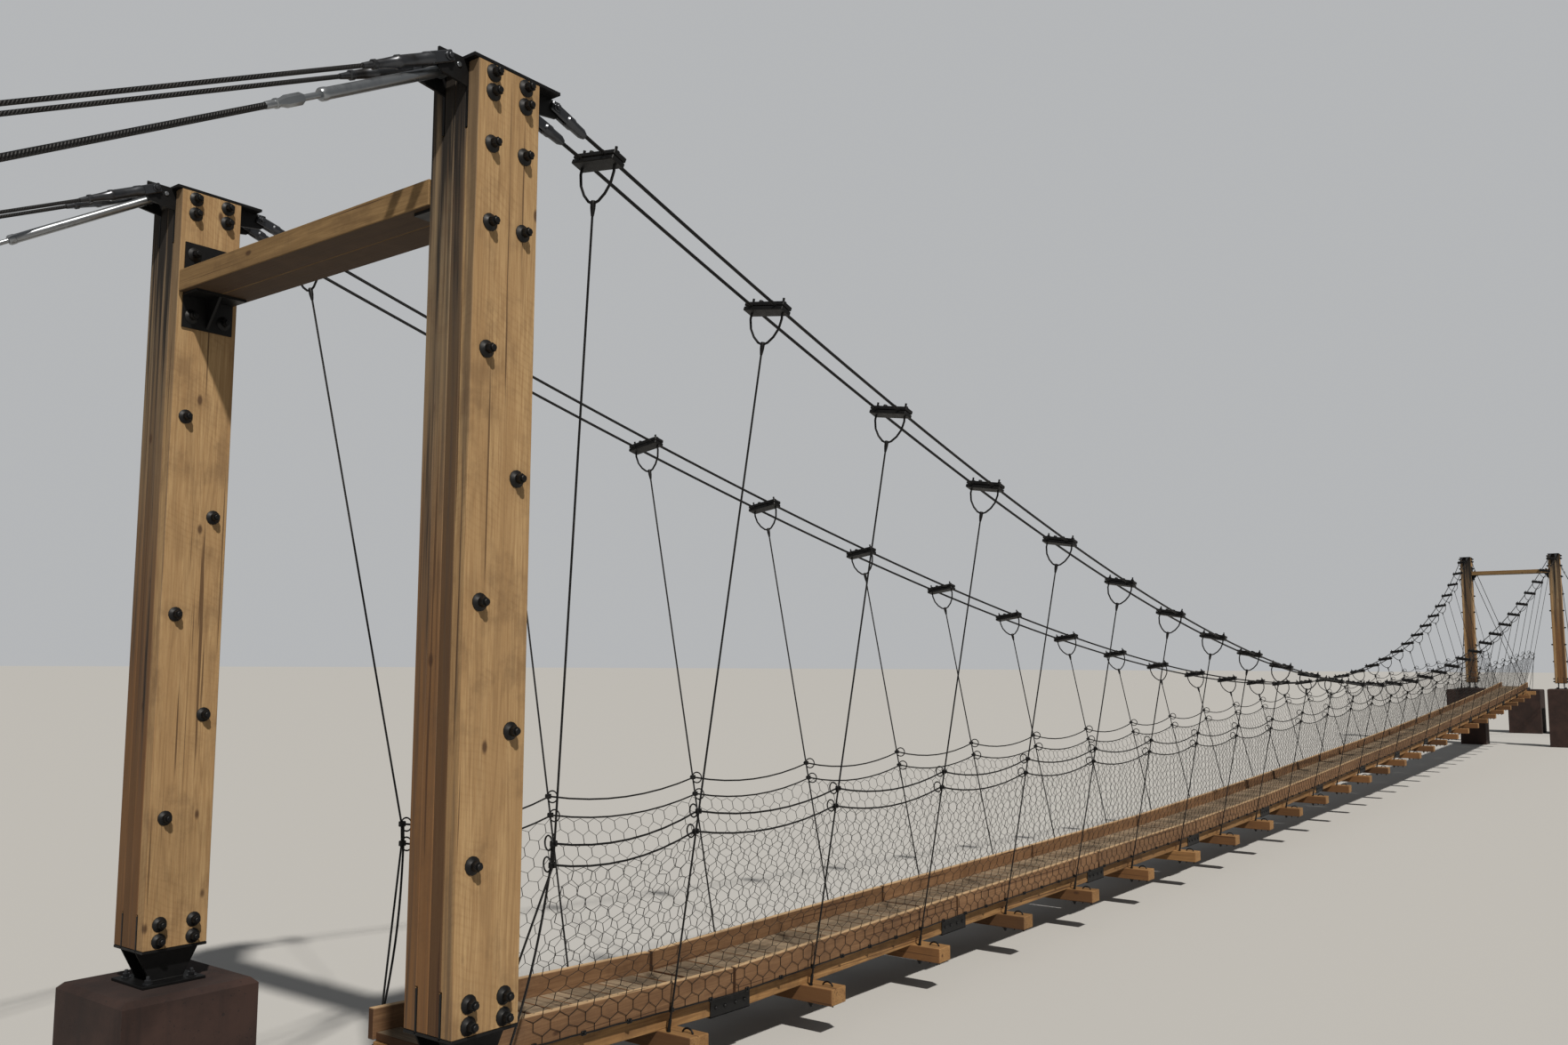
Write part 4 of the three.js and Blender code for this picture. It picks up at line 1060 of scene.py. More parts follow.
# %% The shoes
PIER_TOP, CLEARANCE = -160, 0.6
BASE_SIDE, BASE_THICK, ROD_OFFSET = 285, 12, 98
PLATE_THICK, SHOE_NARROW, WELD = 10, 142, 5
for name, centre_y, side, move in tower_posts():
    shoe, anchors = Gather(), Gather()
    middle, wide, half, narrow = POST_DEPTH / 2, POST_WIDTH / 2, BASE_SIDE / 2, SHOE_NARROW / 2
    low = PIER_TOP + CLEARANCE
    top = low + BASE_THICK
    chamfered(shoe, (middle - half, centre_y - half, low), (middle + half, centre_y + half, top), 1.5)
    chamfered(shoe, (0, centre_y - wide, -CLEARANCE - BASE_THICK), (POST_DEPTH, centre_y + wide, -CLEARANCE), 1.5)
    outline = [(middle - narrow, top - 4), (middle + narrow, top - 4), (POST_DEPTH, -8),
               (POST_DEPTH, SLOT_FOOT - 6), (0, SLOT_FOOT - 6), (0, -8)]
    for y in (centre_y - SLOT_OFFSET, centre_y + SLOT_OFFSET):
        plate(shoe, outline, y - PLATE_THICK / 2, y + PLATE_THICK / 2, 1, bevel=1.0)
        for edge in (y - 7, y + 7):
            rod(shoe, [(middle - narrow - 2, edge, top + 2), (middle + narrow + 2, edge, top + 2)], WELD, 6)
    for dx in (-ROD_OFFSET, ROD_OFFSET):
        for dy in (-ROD_OFFSET, ROD_OFFSET):
            fasten(anchors, (middle + dx, centre_y + dy, top), (0, 0, 1), (16, (0, 21), (3, 21), (3.5, 20)),
                   (6, (3, 14), (4.5, 15), (18, 15), (19, 14)), (10, (16, 8), (32, 8), (34, 6)))
    shoe.make(f"shoe_plates_{name}", black_steel, "black_steel", [f"post_shoe_{name}"], move=move)
    anchors.make(f"anchor_nuts_{name}", socket_steel, "cable_steel", move=move)

# %% [markdown]
# ### Crossbeams
#
# A flat beam of two planks joins the two posts of a tower. It lies on the brackets, which stay as they are packed,
# and two small bolts hold it at each end. One board with a drawn line would do from afar, but the seam shows on
# the underside, so there are two boards again.

# %% The crossbeams
BEAM_BOTTOM, BEAM_TOP = 2944, 3044
BEAM_BOLT_SPREAD, BEAM_BOLT_INSET = 70, 60
beam_end = POST_CENTRE_Y - POST_WIDTH / 2 - BRACKET_THICK - 2 * CLEARANCE
for tower, move in TOWERS.items():
    beam, screws = Gather(), Gather()
    for x0 in (0, POST_DEPTH / 2):
        low, high = (x0 + 0.5, -beam_end, BEAM_BOTTOM), (x0 + POST_DEPTH / 2 - 0.5, beam_end, BEAM_TOP)
        chamfered(beam, low, high, along=(0, 1, 0))
    for y in (BEAM_BOLT_INSET - beam_end, beam_end - BEAM_BOLT_INSET):
        for dx in (-BEAM_BOLT_SPREAD, BEAM_BOLT_SPREAD):
            bolt(screws, (POST_DEPTH / 2 + dx, y, BEAM_TOP), (0, 0, 1), washer=26, nut=15, tall=15, rod_radius=8,
                 reach=34, dome=5)
    beam.make(f"crossbeam_planks_{tower}", beam_timber, "post_timber", [f"crossbeam_{tower}"], move=move)
    screws.make(f"crossbeam_bolts_{tower}", black_steel, "black_steel", move=move)

# %% [markdown]
# ## Cables and hangers
#
# ### The line of the cables
#
# Two pairs of main cables sag between the towers. Each pair lies in a plane that leans in towards the walkway. A
# cable that carries an even load hangs in a parabola, so a formula gives its line at any place. Hand-placed points
# would be less even, and everything that hangs from the cables asks this formula where it starts.

# %% The line of the cables
CABLE_RADIUS, CABLE_TOP, CABLE_SPAN, CABLE_START = 8, 3488, 36576, 146
CABLE_SAG, CABLE_LEAN, CABLE_PLANE_Y, CABLE_SPREAD = 2889, 0.152, 1075, 74
CABLE_PIN_X, CABLE_PIN_Z, FAR_PIN_X = 425, 3412, FAR_X - 425
FIRST_BAND = 734
LAST_BAND = FIRST_BAND + (BAYS - 1) * BAY


def vec(*parts):
    return np.array(parts, float)


def cable_centre(x):
    """The middle of a cable pair on the side with positive Y."""
    t = (x - CABLE_START) / CABLE_SPAN
    sag = 4 * CABLE_SAG * t * (1 - t)
    return vec(x, CABLE_PLANE_Y - CABLE_LEAN * sag, CABLE_TOP + FAR_Z * t - sag)


def past_pins(x):
    """0 at a tower's pins, 1 from the nearest clamp on."""
    near, far = (x - CABLE_PIN_X) / (FIRST_BAND - CABLE_PIN_X), (FAR_PIN_X - x) / (FAR_PIN_X - LAST_BAND)
    return min(max(min(near, far), 0.0), 1.0)


def cable_middle(x):
    """The middle of a pair, which runs straight from the pins to the nearest clamp."""
    share = past_pins(x)
    if share == 1:
        return cable_centre(x)
    near = x < FAR_X / 2
    clamp = cable_centre(FIRST_BAND if near else LAST_BAND)
    pin = vec(CABLE_PIN_X if near else FAR_PIN_X, POST_CENTRE_Y, CABLE_PIN_Z + (0 if near else FAR_Z))
    return pin + (clamp - pin) * share


print("cable at midspan", cable_centre(FAR_X / 2))

# %% [markdown]
# ### The two cables of a pair
#
# The two cables lie side by side across the pair's leaning plane, a little closer at the pins than at the clamps.
# Offsetting a finished curve would give this too, but not the change towards the pins.

# %% The two cables of a pair


def across_pair(x):
    """The direction from the outer cable to the inner one."""
    tip = math.atan(CABLE_LEAN) * past_pins(x)
    return vec(0, -math.cos(tip), math.sin(tip))


def cable_place(x, inward):
    """The place of the inner cable of a pair, with inward 1, or of the outer one, with -1."""
    offset = SLOT_OFFSET + (CABLE_SPREAD - SLOT_OFFSET) * past_pins(x)
    return cable_middle(x) + across_pair(x) * inward * offset


print("inner cable at midspan", cable_place(FAR_X / 2, 1))

# %% [markdown]
# ### Hangers
#
# One rope hangs from each clamp down to its transom. The foot stands a little beside the transom's middle. The
# first and the last are tied aside at the two hand ropes, as the photograph shows. Only their lines are worked out
# here, because the clamps, the hand ropes and the netting need them before any rope is made.

# %% The line of a hanger
HOOP_DROP, HANGER_RADIUS = 175, 5
FOOT_Y, FOOT_SHIFT, TIED_OFFSET = 340, -50, 191
TIES = ((537, 776), (531, 684))


def hanger_line(i):
    """One hanger from the bottom of its hoop to the transom, with the places where it is tied aside."""
    clamp = cable_middle(FIRST_BAND + i * BAY)
    x = FIRST_TRANSOM + i * BAY
    inward = -1 if i == BAYS - 1 else 1
    foot_x = x + inward * FOOT_SHIFT
    foot = vec(foot_x, FOOT_Y, kerb_top(foot_x) - TRANSOM_TOP + CLEARANCE + 2)
    top = clamp + unit(foot - clamp) * HOOP_DROP
    if i in (0, BAYS - 1):
        tied = x + inward * TIED_OFFSET
        return [top, *(vec(tied, y, kerb_top(tied) + z) for y, z in TIES), foot]
    return [top, foot]


print("the first hanger runs from", hanger_line(0)[0], "to", hanger_line(0)[-1])

# %% [markdown]
# ### Sockets
#
# Each cable ends in a forked socket on a pin: two cheeks beside a steel plate, and a turned neck that the rope goes
# into. It could be built upright and turned as an object. Here it is drawn flat at the origin, and `carried` brings
# it to its place by three directions, so that it follows its rope exactly.

# %% A forked socket
CABLE_SOCKET = [(0, 20), (6, 25), (34, 26), (44, 22), (92, 21), (112, 13)]
CHEEK_THICK, NECK_START = 12, 62


def carried(basis, origin):
    """Brings points from a piece's own three directions to its place."""
    return lambda points: np.asarray(points, float) @ np.array(basis) + origin


def socket(gather, pin, along, profile):
    """A forked socket on a pin: two cheeks, and a turned neck and tube that the rope goes into."""
    in_plane = unit(along * [1, 0, 1])
    inside = PLATE_THICK / 2 + CLEARANCE
    placed = carried([in_plane, vec(0, 1, 0), unit(np.cross(in_plane, vec(0, 1, 0)))], pin)
    for cheek in (-1, 1):
        chamfered(gather, (-24, cheek * inside, -22), (82, cheek * (inside + CHEEK_THICK), 22), 4, shape=placed)
    lathe(gather, pin + along * NECK_START, along, profile, 14)
    for face in (-1, 1):
        fasten(gather, pin + vec(0, face * (inside + CHEEK_THICK), 0), (0, face, 0),
               (12, (0, 17), (4, 17), (6, 15)), (10, (4, 10), (14, 10), (16, 8)))


print("a cable's socket reaches", NECK_START + CABLE_SOCKET[-1][0], "mm from its pin")

# %% [markdown]
# ### Clamps and hoops
#
# At every bay a block of two plates clamps a pair, with bolts through it, and a looped rod hangs from it with the
# hanger at its bottom. Copies of one object with a rotation would do, but each clamp's tilt then has to be kept as
# angles. A clamp tilts with its cable, so it is carried by three directions too: along the cable, across the pair
# and up.

# %% A clamp and its hoop
HOOP_HALF, HOOP_WIRE, HOOP_TIGHT = 95, 6.0, 0.98
HOOP_CURVE = [(-HOOP_HALF, 52), (-HOOP_HALF, 0), (-HOOP_HALF - 4, -50), (-88, -98), (-62, -138), (-30, -166),
              (0, -177)]
HOOP_CURVE += [(-s, d) for s, d in HOOP_CURVE[-2::-1]]
CLAMP_LENGTH, CLAMP_WIDTH, CLAMP_THICK = 240, 75, 45


def clamp_parts(blocks, hoops, i):
    """The clamp of two plates with its bolts, and the looped rod below it."""
    x = FIRST_BAND + i * BAY
    middle = cable_middle(x)
    along = unit(cable_centre(x + 1) - cable_centre(x - 1))
    up = unit(np.cross(along, across_pair(x)))
    up *= np.sign(up[2])
    across = np.cross(up, along)
    placed = carried([along, across, up], middle)
    half_width, half = CLAMP_WIDTH / 2, CLAMP_LENGTH / 2
    for low, high in ((-CLAMP_THICK / 2, -2), (2, CLAMP_THICK / 2)):
        chamfered(blocks, (-half_width, -half, low), (half_width, half, high), shape=placed)
    for dx in (-24, 24):
        for dy in (-30, 30):
            at = placed((dx, dy, CLAMP_THICK / 2))
            lathe(blocks, at, up, [(-1, 12), (9, 12), (10, 10)], 6)
    down = unit(hanger_line(i)[0] - middle)
    rod(hoops, [middle + across * s * HOOP_TIGHT - down * d for s, d in HOOP_CURVE], HOOP_WIRE, side=along)
    for s in (-HOOP_HALF, HOOP_HALF):
        at = placed((0, s * HOOP_TIGHT, CLAMP_THICK / 2))
        lathe(blocks, at, up, [(-1, 14), (3, 14), (4, 11), (13, 11), (14, 10)], 6)


print("a hoop bends through", len(HOOP_CURVE), "points")

# %% [markdown]
# ### The cables and what hangs from them
#
# With the lines and the fittings ready, the cables are made in one loop for each side of the bridge. Both sides
# are worked out with positive Y, and the right one is turned over by `mirror` while its mesh is made. A mirror
# modifier would put both sides into one object, and the packed model has them apart.

# %% The cables, clamps, hoops and hangers
CABLE_STEPS, SOCKET_REACH = 160, 140
TOP_SLEEVE = [(-12, 9), (-4, 12), (22, 11), (52, 6.5)]
FOOT_SLEEVE = [(0, 11), (6, 11), (7, 8.5), (56, 8.5), (64, 6)]


def mirror(side):
    return lambda points: np.asarray(points, float) * [1, side, 1]


for label, side in SIDES.items():
    ropes, sockets, blocks, hoops, hangers, sleeves = (Gather() for _ in range(6))
    for inward in (-1, 1):
        steps = np.linspace(CABLE_PIN_X + SOCKET_REACH, FAR_PIN_X - SOCKET_REACH, CABLE_STEPS)
        rod(ropes, [cable_place(x, inward) for x in steps], CABLE_RADIUS, 10, strand=True)
    for x, z, reach in ((CABLE_PIN_X, CABLE_PIN_Z, 170), (FAR_PIN_X, CABLE_PIN_Z + FAR_Z, -170)):
        for inward in (-1, 1):
            target = cable_place(x + reach, inward)
            along = unit(vec(target[0] - x, 0, target[2] - z))
            socket(sockets, vec(x, POST_CENTRE_Y - inward * SLOT_OFFSET, z), along, CABLE_SOCKET)
    for i in range(BAYS):
        clamp_parts(blocks, hoops, i)
        line = hanger_line(i)
        down = unit(line[1] - line[0])
        rod(hangers, [line[0] - down * 4, *line[1:]], HANGER_RADIUS, strand=True)
        lathe(sleeves, line[0], down, TOP_SLEEVE, 10)
        lathe(sleeves, line[-1], line[-2] - line[-1], FOOT_SLEEVE, 10)
    for gather, name, material, slot, node in (
        (ropes, "main_ropes", wire_rope, "cable_steel", [f"main_cables_{label}"]),
        (sockets, "cable_sockets", socket_steel, "cable_steel", ()),
        (blocks, "cable_clamps", black_steel, "black_steel", ()),
        (hoops, "hanger_hoops", black_steel, "black_steel", ()),
        (hangers, "hangers", wire_rope, "cable_steel", ()),
        (sleeves, "hanger_sleeves", black_steel, "black_steel", ()),
    ):
        gather.make(f"{name}_{label}", material, slot, node, move=mirror(side))

# %% [markdown]
# ## Hand ropes and netting
#
# ### Hand ropes
#
# Two hand ropes run past the hangers and sag a little between them. A clip and a ring hold them at each one. At
# both ends they join in a tail that is tied down to the transom. A rope could be simulated until it hangs still,
# but between two clips a short arc looks the same, and a formula gives it at once.

# %% The lines of the hand ropes
HAND_RADIUS, HAND_HEIGHTS, HAND_SAG = 5, (900, 800), 60
END_DROPS = {0: 120, 1: 30}
HAND_SIDE = vec(0, -HANGER_RADIUS - HAND_RADIUS, 0)


def clip_place(i, rope):
    """Where hanger i holds the upper hand rope, 0, or the lower one, 1. Both run lower at the ends."""
    line = hanger_line(i)
    if len(line) > 2:
        return line[1 + rope] + vec(0, -4, 0)
    top, foot = line
    height = kerb_top(FIRST_TRANSOM + i * BAY) + HAND_HEIGHTS[rope] - END_DROPS.get(min(i, BAYS - 1 - i), 0)
    height = min(height, top[2] - 12 - 78 * rope)
    return top + (foot - top) * (top[2] - height) / (top[2] - foot[2])


def hand_points(rope, steps=8):
    """The centre line of a hand rope, with a smooth sag in every bay."""
    held = [clip_place(i, rope) + HAND_SIDE for i in range(BAYS)]
    points = [held[0]]
    for a, b in zip(held[:-1], held[1:]):
        for t in np.arange(1, steps + 1) / steps:
            points.append(a + (b - a) * t - vec(0, 0, HAND_SAG * 4 * t * (1 - t)))
    return np.array(points)


print("the lower hand rope starts at", hand_points(1)[0])

# %% [markdown]
# ### Tails of the hand ropes
#
# At both ends of the floor the two hand ropes go down together to a transom, in a line that bows a little towards
# the span. A straight bar would look like a post. Half a sine wave gives the bow of a rope that isn't quite tight.

# %% The tails of the hand ropes
TAIL_BOW = (34, 3)


def tail_points(i, to_span):
    """The hand ropes' shared tail, tied down to the end transom."""
    x = FIRST_TRANSOM + i * BAY
    top = clip_place(i, 1) + HAND_SIDE
    foot = vec(x, 422, kerb_top(x) - TRANSOM_TOP + CLEARANCE + 4)
    points = [clip_place(i, 0) + HAND_SIDE, top]
    for t in np.linspace(0.08, 1, 12):
        bow = math.sin(math.pi * t)
        points.append(top + (foot - top) * t + vec(to_span * TAIL_BOW[0] * bow, TAIL_BOW[1] * bow, 0))
    return points


print("a tail has", len(tail_points(0, 1)), "points")

# %% [markdown]
# ### Rings and clips
#
# A clip on each hanger holds a ring of wire, and the hand rope runs through it. A ready-made torus would give the
# ring, but as an object of its own. The tube's faces close on themselves just as well, and all rings of a side stay
# in one mesh.

# %% The hand ropes and their rings
RING_RADIUS, RING_WIRE = 32, 4


def ring(gather, centre, radius, wire, normal, sides=6, steps=20):
    """A closed ring of round wire."""
    normal = unit(np.asarray(normal, float))
    first = unit(np.cross(normal, vec(0, 0, 1)))
    second = np.cross(normal, first)
    places = []
    for a in 2 * np.pi * np.arange(steps) / steps:
        spoke = first * math.cos(a) + second * math.sin(a)
        for b in 2 * np.pi * np.arange(sides) / sides:
            places.append(centre + spoke * (radius + wire * math.cos(b)) + normal * wire * math.sin(b))
    gather.add(places, [face[::-1] for face in tube_faces(steps, sides, closed=True)[0]])


for label, side in SIDES.items():
    lines, rings = Gather(), Gather()
    for rope in (0, 1):
        rod(lines, hand_points(rope), HAND_RADIUS, strand=True)
        for i in range(BAYS):
            at = clip_place(i, rope)
            ring(rings, at + vec(0, -RING_RADIUS - 2, 0), RING_RADIUS, RING_WIRE, (1, 0.25, 0))
            chamfered(rings, at + vec(-16, -12, -13), at + vec(16, 9, 13), board=0)
            lathe(rings, at + vec(0, 4, 0), (0, 1, 0), [(0, 7), (14, 7), (15, 6)], 6)
    for i, to_span in ((0, 1), (BAYS - 1, -1)):
        rod(lines, tail_points(i, to_span), HAND_RADIUS + 0.4, strand=True)
    lines.make(f"hand_rope_lines_{label}", wire_rope, "cable_steel", [f"hand_ropes_{label}"], move=mirror(side))
    rings.make(f"hand_rope_rings_{label}", black_steel, "black_steel", move=mirror(side))

# %% [markdown]
# ### Netting
#
# Wire netting with six-sided cells hangs from the lower hand rope, passes over the outside of the kerb and ends at
# its foot. A sheet with see-through holes would be lighter, but a real wire catches light where a picture of one
# can't, so the wires are real. First comes the surface that they lie in. A cloth simulation could hang it, but wire
# netting is stiff and keeps the shape that it was stretched to.

# %% The surface of the netting
NET_FACE, NET_INSET = KERB_OUTSIDE + 3.5, 40


def net_surface(along, share):
    """Points of the net's surface: along in millimetres, and share from 0 at its foot to 1 at the hand rope."""
    rope = hand_points(1, 16)
    top_y = np.interp(along, rope[:, 0], rope[:, 1])
    top_z = np.interp(along, rope[:, 0], rope[:, 2]) - HAND_RADIUS
    kerb = kerb_top(along)
    height = KERB_HEIGHT + np.hypot(top_z - kerb, top_y - NET_FACE)
    run = share * height
    t = np.clip((run - KERB_HEIGHT) / (height - KERB_HEIGHT), 0, 1)
    z = np.where(run <= KERB_HEIGHT, kerb - KERB_HEIGHT + run, kerb + (top_z - kerb) * t)
    return np.stack([along, NET_FACE + (top_y - NET_FACE) * t, z], -1)


print("the net's foot and top at midspan", *net_surface(np.full(2, FAR_X / 2), np.array([0, 1])))

# %% [markdown]
# ### Wires
#
# The netting has tens of thousands of wires. Round bars would cost too many faces, and a loop over them would take
# minutes. Three sides are enough for a wire of two millimetres, and arrays work out all bars at once.

# %% Three-sided bars


def bars(gather, a, b, radius):
    """Three-sided bars between two lists of points."""
    ahead = unit(b - a)
    out = np.cross(ahead, [0, 0.25, 1])
    weak = np.linalg.norm(out, axis=1) < 0.3
    out[weak] = np.cross(ahead[weak], [1, 0, 0])
    out = unit(out)
    up = np.cross(ahead, out)
    corners = []
    for k in range(3):
        turn = 2 * math.pi * k / 3 + 0.5
        offset = radius * (out * math.cos(turn) + up * math.sin(turn))
        corners += [a + offset, b + offset]
    starts = 6 * np.arange(len(a))
    faces = []
    for k in range(3):
        i, j = 2 * k, 2 * ((k + 1) % 3)
        faces += np.stack([starts + i, starts + j, starts + j + 1, starts + i + 1], 1).tolist()
    gather.add(np.stack(corners, 1).reshape(-1, 3), faces)


trial = Gather()
bars(trial, vec([0, 0, 0]), vec([10, 0, 0]), 1)
print("a bar has", trial.count, "corners")

# %% [markdown]
# ### The cells
#
# Upright bars are thicker, because two wires are twisted together there, and single wires slant from them to the
# rows above. Every other row is shifted by half a cell, which gives the six sides. An array modifier would repeat
# one perfect cell. A little seeded noise in every corner looks like netting that was stretched by hand.

# %% The netting
CELL_LENGTH, CELL_UPRIGHT, CELL_SLANT = 108.0, 44.0, 27.0
TWISTED_WIRE, SINGLE_WIRE = 2.3, 1.5
UNEVEN_ALONG, UNEVEN_UP, UNEVEN_OUT = 3.0, 0.05, 2.5
NET_SEED = 17
rope = hand_points(1)
net_start, net_end = rope[0][0] + NET_INSET, rope[-1][0] - NET_INSET
rows = round((KERB_HEIGHT + HAND_HEIGHTS[1]) / (CELL_UPRIGHT + CELL_SLANT))
columns = int((net_end - net_start) / CELL_LENGTH)
r, c = np.meshgrid(np.arange(rows + 1), np.arange(columns + 1), indexing="ij")
for label, side in SIDES.items():
    net = Gather()
    noise = np.random.default_rng(NET_SEED + side)
    # The corners of the cells: low[r, c] starts an upright, high[r, c] ends it.
    x = net_start + (c + 0.5 * (r % 2)) * CELL_LENGTH + noise.normal(0, UNEVEN_ALONG, r.shape)
    sway = noise.normal(0, UNEVEN_UP, r.shape)
    low = np.clip((r + sway) / rows, 0, 1)
    high = np.clip((r + sway + CELL_UPRIGHT / (CELL_UPRIGHT + CELL_SLANT)) / rows, 0, 1)
    start, end = net_surface(x, low), net_surface(x, high)
    ripple = noise.normal(0, UNEVEN_OUT, (*r.shape, 1)) * (high[..., None] > 0.2)
    start[..., 1:2] += ripple
    end[..., 1:2] += ripple
    inside = (x > net_start) & (x < net_end)
    keep = inside & (r < rows)
    bars(net, start[keep], end[keep], TWISTED_WIRE)
    # From the top of each upright one slanted wire goes to the row above, and one to that row's next upright.
    lower, upper = end[:-1], start[1:]
    both = inside[:-1] & inside[1:]
    bars(net, lower[both], upper[both], SINGLE_WIRE)
    even = (r[:-1, 1:, None] % 2) == 0
    shifted = np.where(even, upper[:, :-1], upper[:, 1:])
    origin = np.where(even, lower[:, 1:], lower[:, :-1])
    valid = np.abs(shifted[..., 0] - origin[..., 0]) < CELL_LENGTH
    bars(net, origin[valid], shifted[valid], SINGLE_WIRE)
    net.make(f"hex_netting_{label}", net_wire, "netting", [f"side_netting_{label}"], move=mirror(side), smooth=180)

# %% [markdown]
# ### Lacing
#
# A thin rope is laced along the kerb's foot and holds the netting's lower edge, with a small clip four times in
# each bay. The real one may weave through every cell. That would cost many faces for what is seen as a line, so it
# runs straight with a slight sag between the clips.

# %% The lacing rope
LACING_PITCH, LACING_RADIUS, LACING_SAG = BAY / 4, 4.5, 3.0
for label, side in SIDES.items():
    lacing, ties = Gather(), Gather()
    xs = np.linspace(net_start, net_end, 240)
    sag = LACING_SAG * np.sin((xs - net_start) / LACING_PITCH * math.pi) ** 2
    points = np.stack([xs, np.full_like(xs, KERB_OUTSIDE + 6.0), kerb_top(xs) - KERB_HEIGHT + 6 - sag], 1)
    rod(lacing, points, LACING_RADIUS, strand=True)
    for x in np.arange(net_start + 60, net_end, LACING_PITCH):
        z = kerb_top(x) - KERB_HEIGHT + 5
        chamfered(ties, (x - 14, KERB_OUTSIDE, z - 10), (x + 14, KERB_OUTSIDE + 13, z + 12), board=0)
        lathe(ties, (x, KERB_OUTSIDE + 12, z), (0, 1, 0), [(0, 7), (7, 7), (8, 6)], 6)
    lacing.make(f"lacing_rope_{label}", wire_rope, "cable_steel", move=mirror(side))
    ties.make(f"lacing_clips_{label}", black_steel, "black_steel", move=mirror(side))

# %% [markdown]
# ### Bent rods on the transoms
#
# Near each end of a transom a rod bent to a U straddles the timber: its arch shows above and its nuts below. The
# tails of the hand ropes are tied to the outermost ones. A nut and a washer under the timber also end each hanger.
# They are too small for the packed model, but they show against the light under the floor.

# %% The bent rods on the transoms
U_LOW, U_HIGH, U_WIRE = 388, 457, 5
ARCH = np.linspace(0, math.pi, 9)
middle, half = (U_LOW + U_HIGH) / 2, (U_HIGH - U_LOW) / 2
for number, first, last in SECTIONS:
    rods = Gather()
    for x in transoms(first, last):
        top = kerb_top(x) - TRANSOM_TOP
        foot_x = x + (-FOOT_SHIFT if x == transom_x[-1] else FOOT_SHIFT)
        for side in (-1, 1):
            arch = [(middle + half * math.cos(a), top - 6 + (half - 5) * math.sin(a)) for a in ARCH]
            legs = [(y, top - TRANSOM_HEIGHT - 24) for y in (U_HIGH, U_LOW)]
            rod(rods, [(x, side * y, z) for y, z in (legs[0], *arch, legs[1])], U_WIRE, side=(1, 0, 0))
            for y in (U_LOW, U_HIGH):
                fasten(rods, (x, side * y, top - TRANSOM_HEIGHT), (0, 0, -1), (12, (-1, 15), (3, 15), (4, 14)),
                       (6, (3, 9), (4, 10), (11, 10), (12, 9)))
            under = (foot_x, side * FOOT_Y, kerb_top(foot_x) - TRANSOM_TOP - TRANSOM_HEIGHT)
            fasten(rods, under, (0, 0, -1), (12, (-1, 20), (4, 20), (5, 19)),
                   (6, (4, 12), (5, 13), (17, 13), (18, 8), (26, 8)))
    rods.make(f"transom_rods_{number}", black_steel, "black_steel")

# %% [markdown]
# ## Stays
#
# Behind each post a pair of ropes and a single one below it run down to concrete blocks. The pair draws in towards
# the walkway and the single one spreads away from it. The single one starts with a long bright tube, a thin rod
# and a six-sided collar, which tighten it. All of it lies on straight lines, so turned parts on one axis are
# enough, and a bevelled curve for each would add nothing: each profile lists the steps of the radius, as on a lathe.

# %% The lines and the profiles of the stays
STAY_PIN, SINGLE_PIN = (-95, 3415), (-42, 3407)
PAIR_RUN, SINGLE_RUN = (0.481, -0.05), (0.597, 0.2)
STAY_RADIUS, SINGLE_RADIUS, BLOCK_TOP = 8, 10.5, -300
STAY_SOCKET = [(0, 20), (6, 25), (34, 26), (44, 23), (142, 23), (148, 25), (162, 25), (168, 21), (214, 17),
               (246, 15), (250, 18), (264, 18), (268, 13), (304, 10)]
FOOT_SOCKET = [(0, 12), (30, 21), (270, 22), (300, 24), (330, 24)]
TIGHTENER = ((0, (16, (0, 20), (656, 20), (658, 22), (678, 22), (685, 18))), (670, (12, (0, 10.5), (110, 10.5))),
             (770, (6, (0, 18), (3, 20), (72, 20), (90, 15), (104, 13))),
             (868, (14, (0, 13), (8, 13), (10, 16), (20, 16), (22, 13), (60, 12), (64, 11))))


def stay_foot(start, along):
    """Where a stay that runs from start in the direction along meets its block."""
    return start + along * (BLOCK_TOP + 40 - start[2]) / along[2]


pair_end = stay_foot(vec(STAY_PIN[0], 0, STAY_PIN[1]), unit(vec(-1, PAIR_RUN[1], -PAIR_RUN[0])))
print("a pair ends", round(-pair_end[0]), "mm behind its post")

# %% [markdown]
# ### Feet of the stays
#
# At its block each stay ends in a socket on a lug, and the lug stands on a steel plate with four anchor nuts. They
# could be one part that is placed four times, but the pairs need two lugs and the single stays one, so a function
# takes the lugs' places.

# %% The feet of the stays
PLATE_HALF_X, PLATE_HALF_Y, PLATE_HIGH = 150, 130, 24


def foot_plate(sockets, nuts, foot, offsets):
    """The steel plate on a block, with a lug for each rope and four anchor nuts."""
    x, y, low = foot[0], foot[1], BLOCK_TOP + CLEARANCE
    top = low + PLATE_HIGH
    chamfered(sockets, (x - PLATE_HALF_X, y - PLATE_HALF_Y, low), (x + PLATE_HALF_X, y + PLATE_HALF_Y, top), 2)
    lug = [(x - 70, low + 20), (x + 90, low + 20), (x + 60, low + 58), (x - 40, low + 58)]
    for offset in offsets:
        plate(sockets, lug, y + offset - 8, y + offset + 8, axis=1)
    for dx in (-115, 115):
        for dy in (-100, 100):
            lathe(nuts, (x + dx, y + dy, top), (0, 0, 1), [(0, 22), (4, 22), (5, 17), (22, 17), (23, 9), (36, 9)], 6)


def stay_rope(ropes, sockets, start, along, first, radius):
    """A rope from some way below its pin down to the socket at its foot."""
    foot = stay_foot(start, along)
    reach = np.linalg.norm(foot - start)
    rod(ropes, [start + along * d for d in np.linspace(first, reach - 20, 30)], radius, 10, strand=True)
    lathe(sockets, foot - along * 330, along, FOOT_SOCKET, 14)
    return foot


print("a foot plate measures", 2 * PLATE_HALF_X, "by", 2 * PLATE_HALF_Y, "mm")

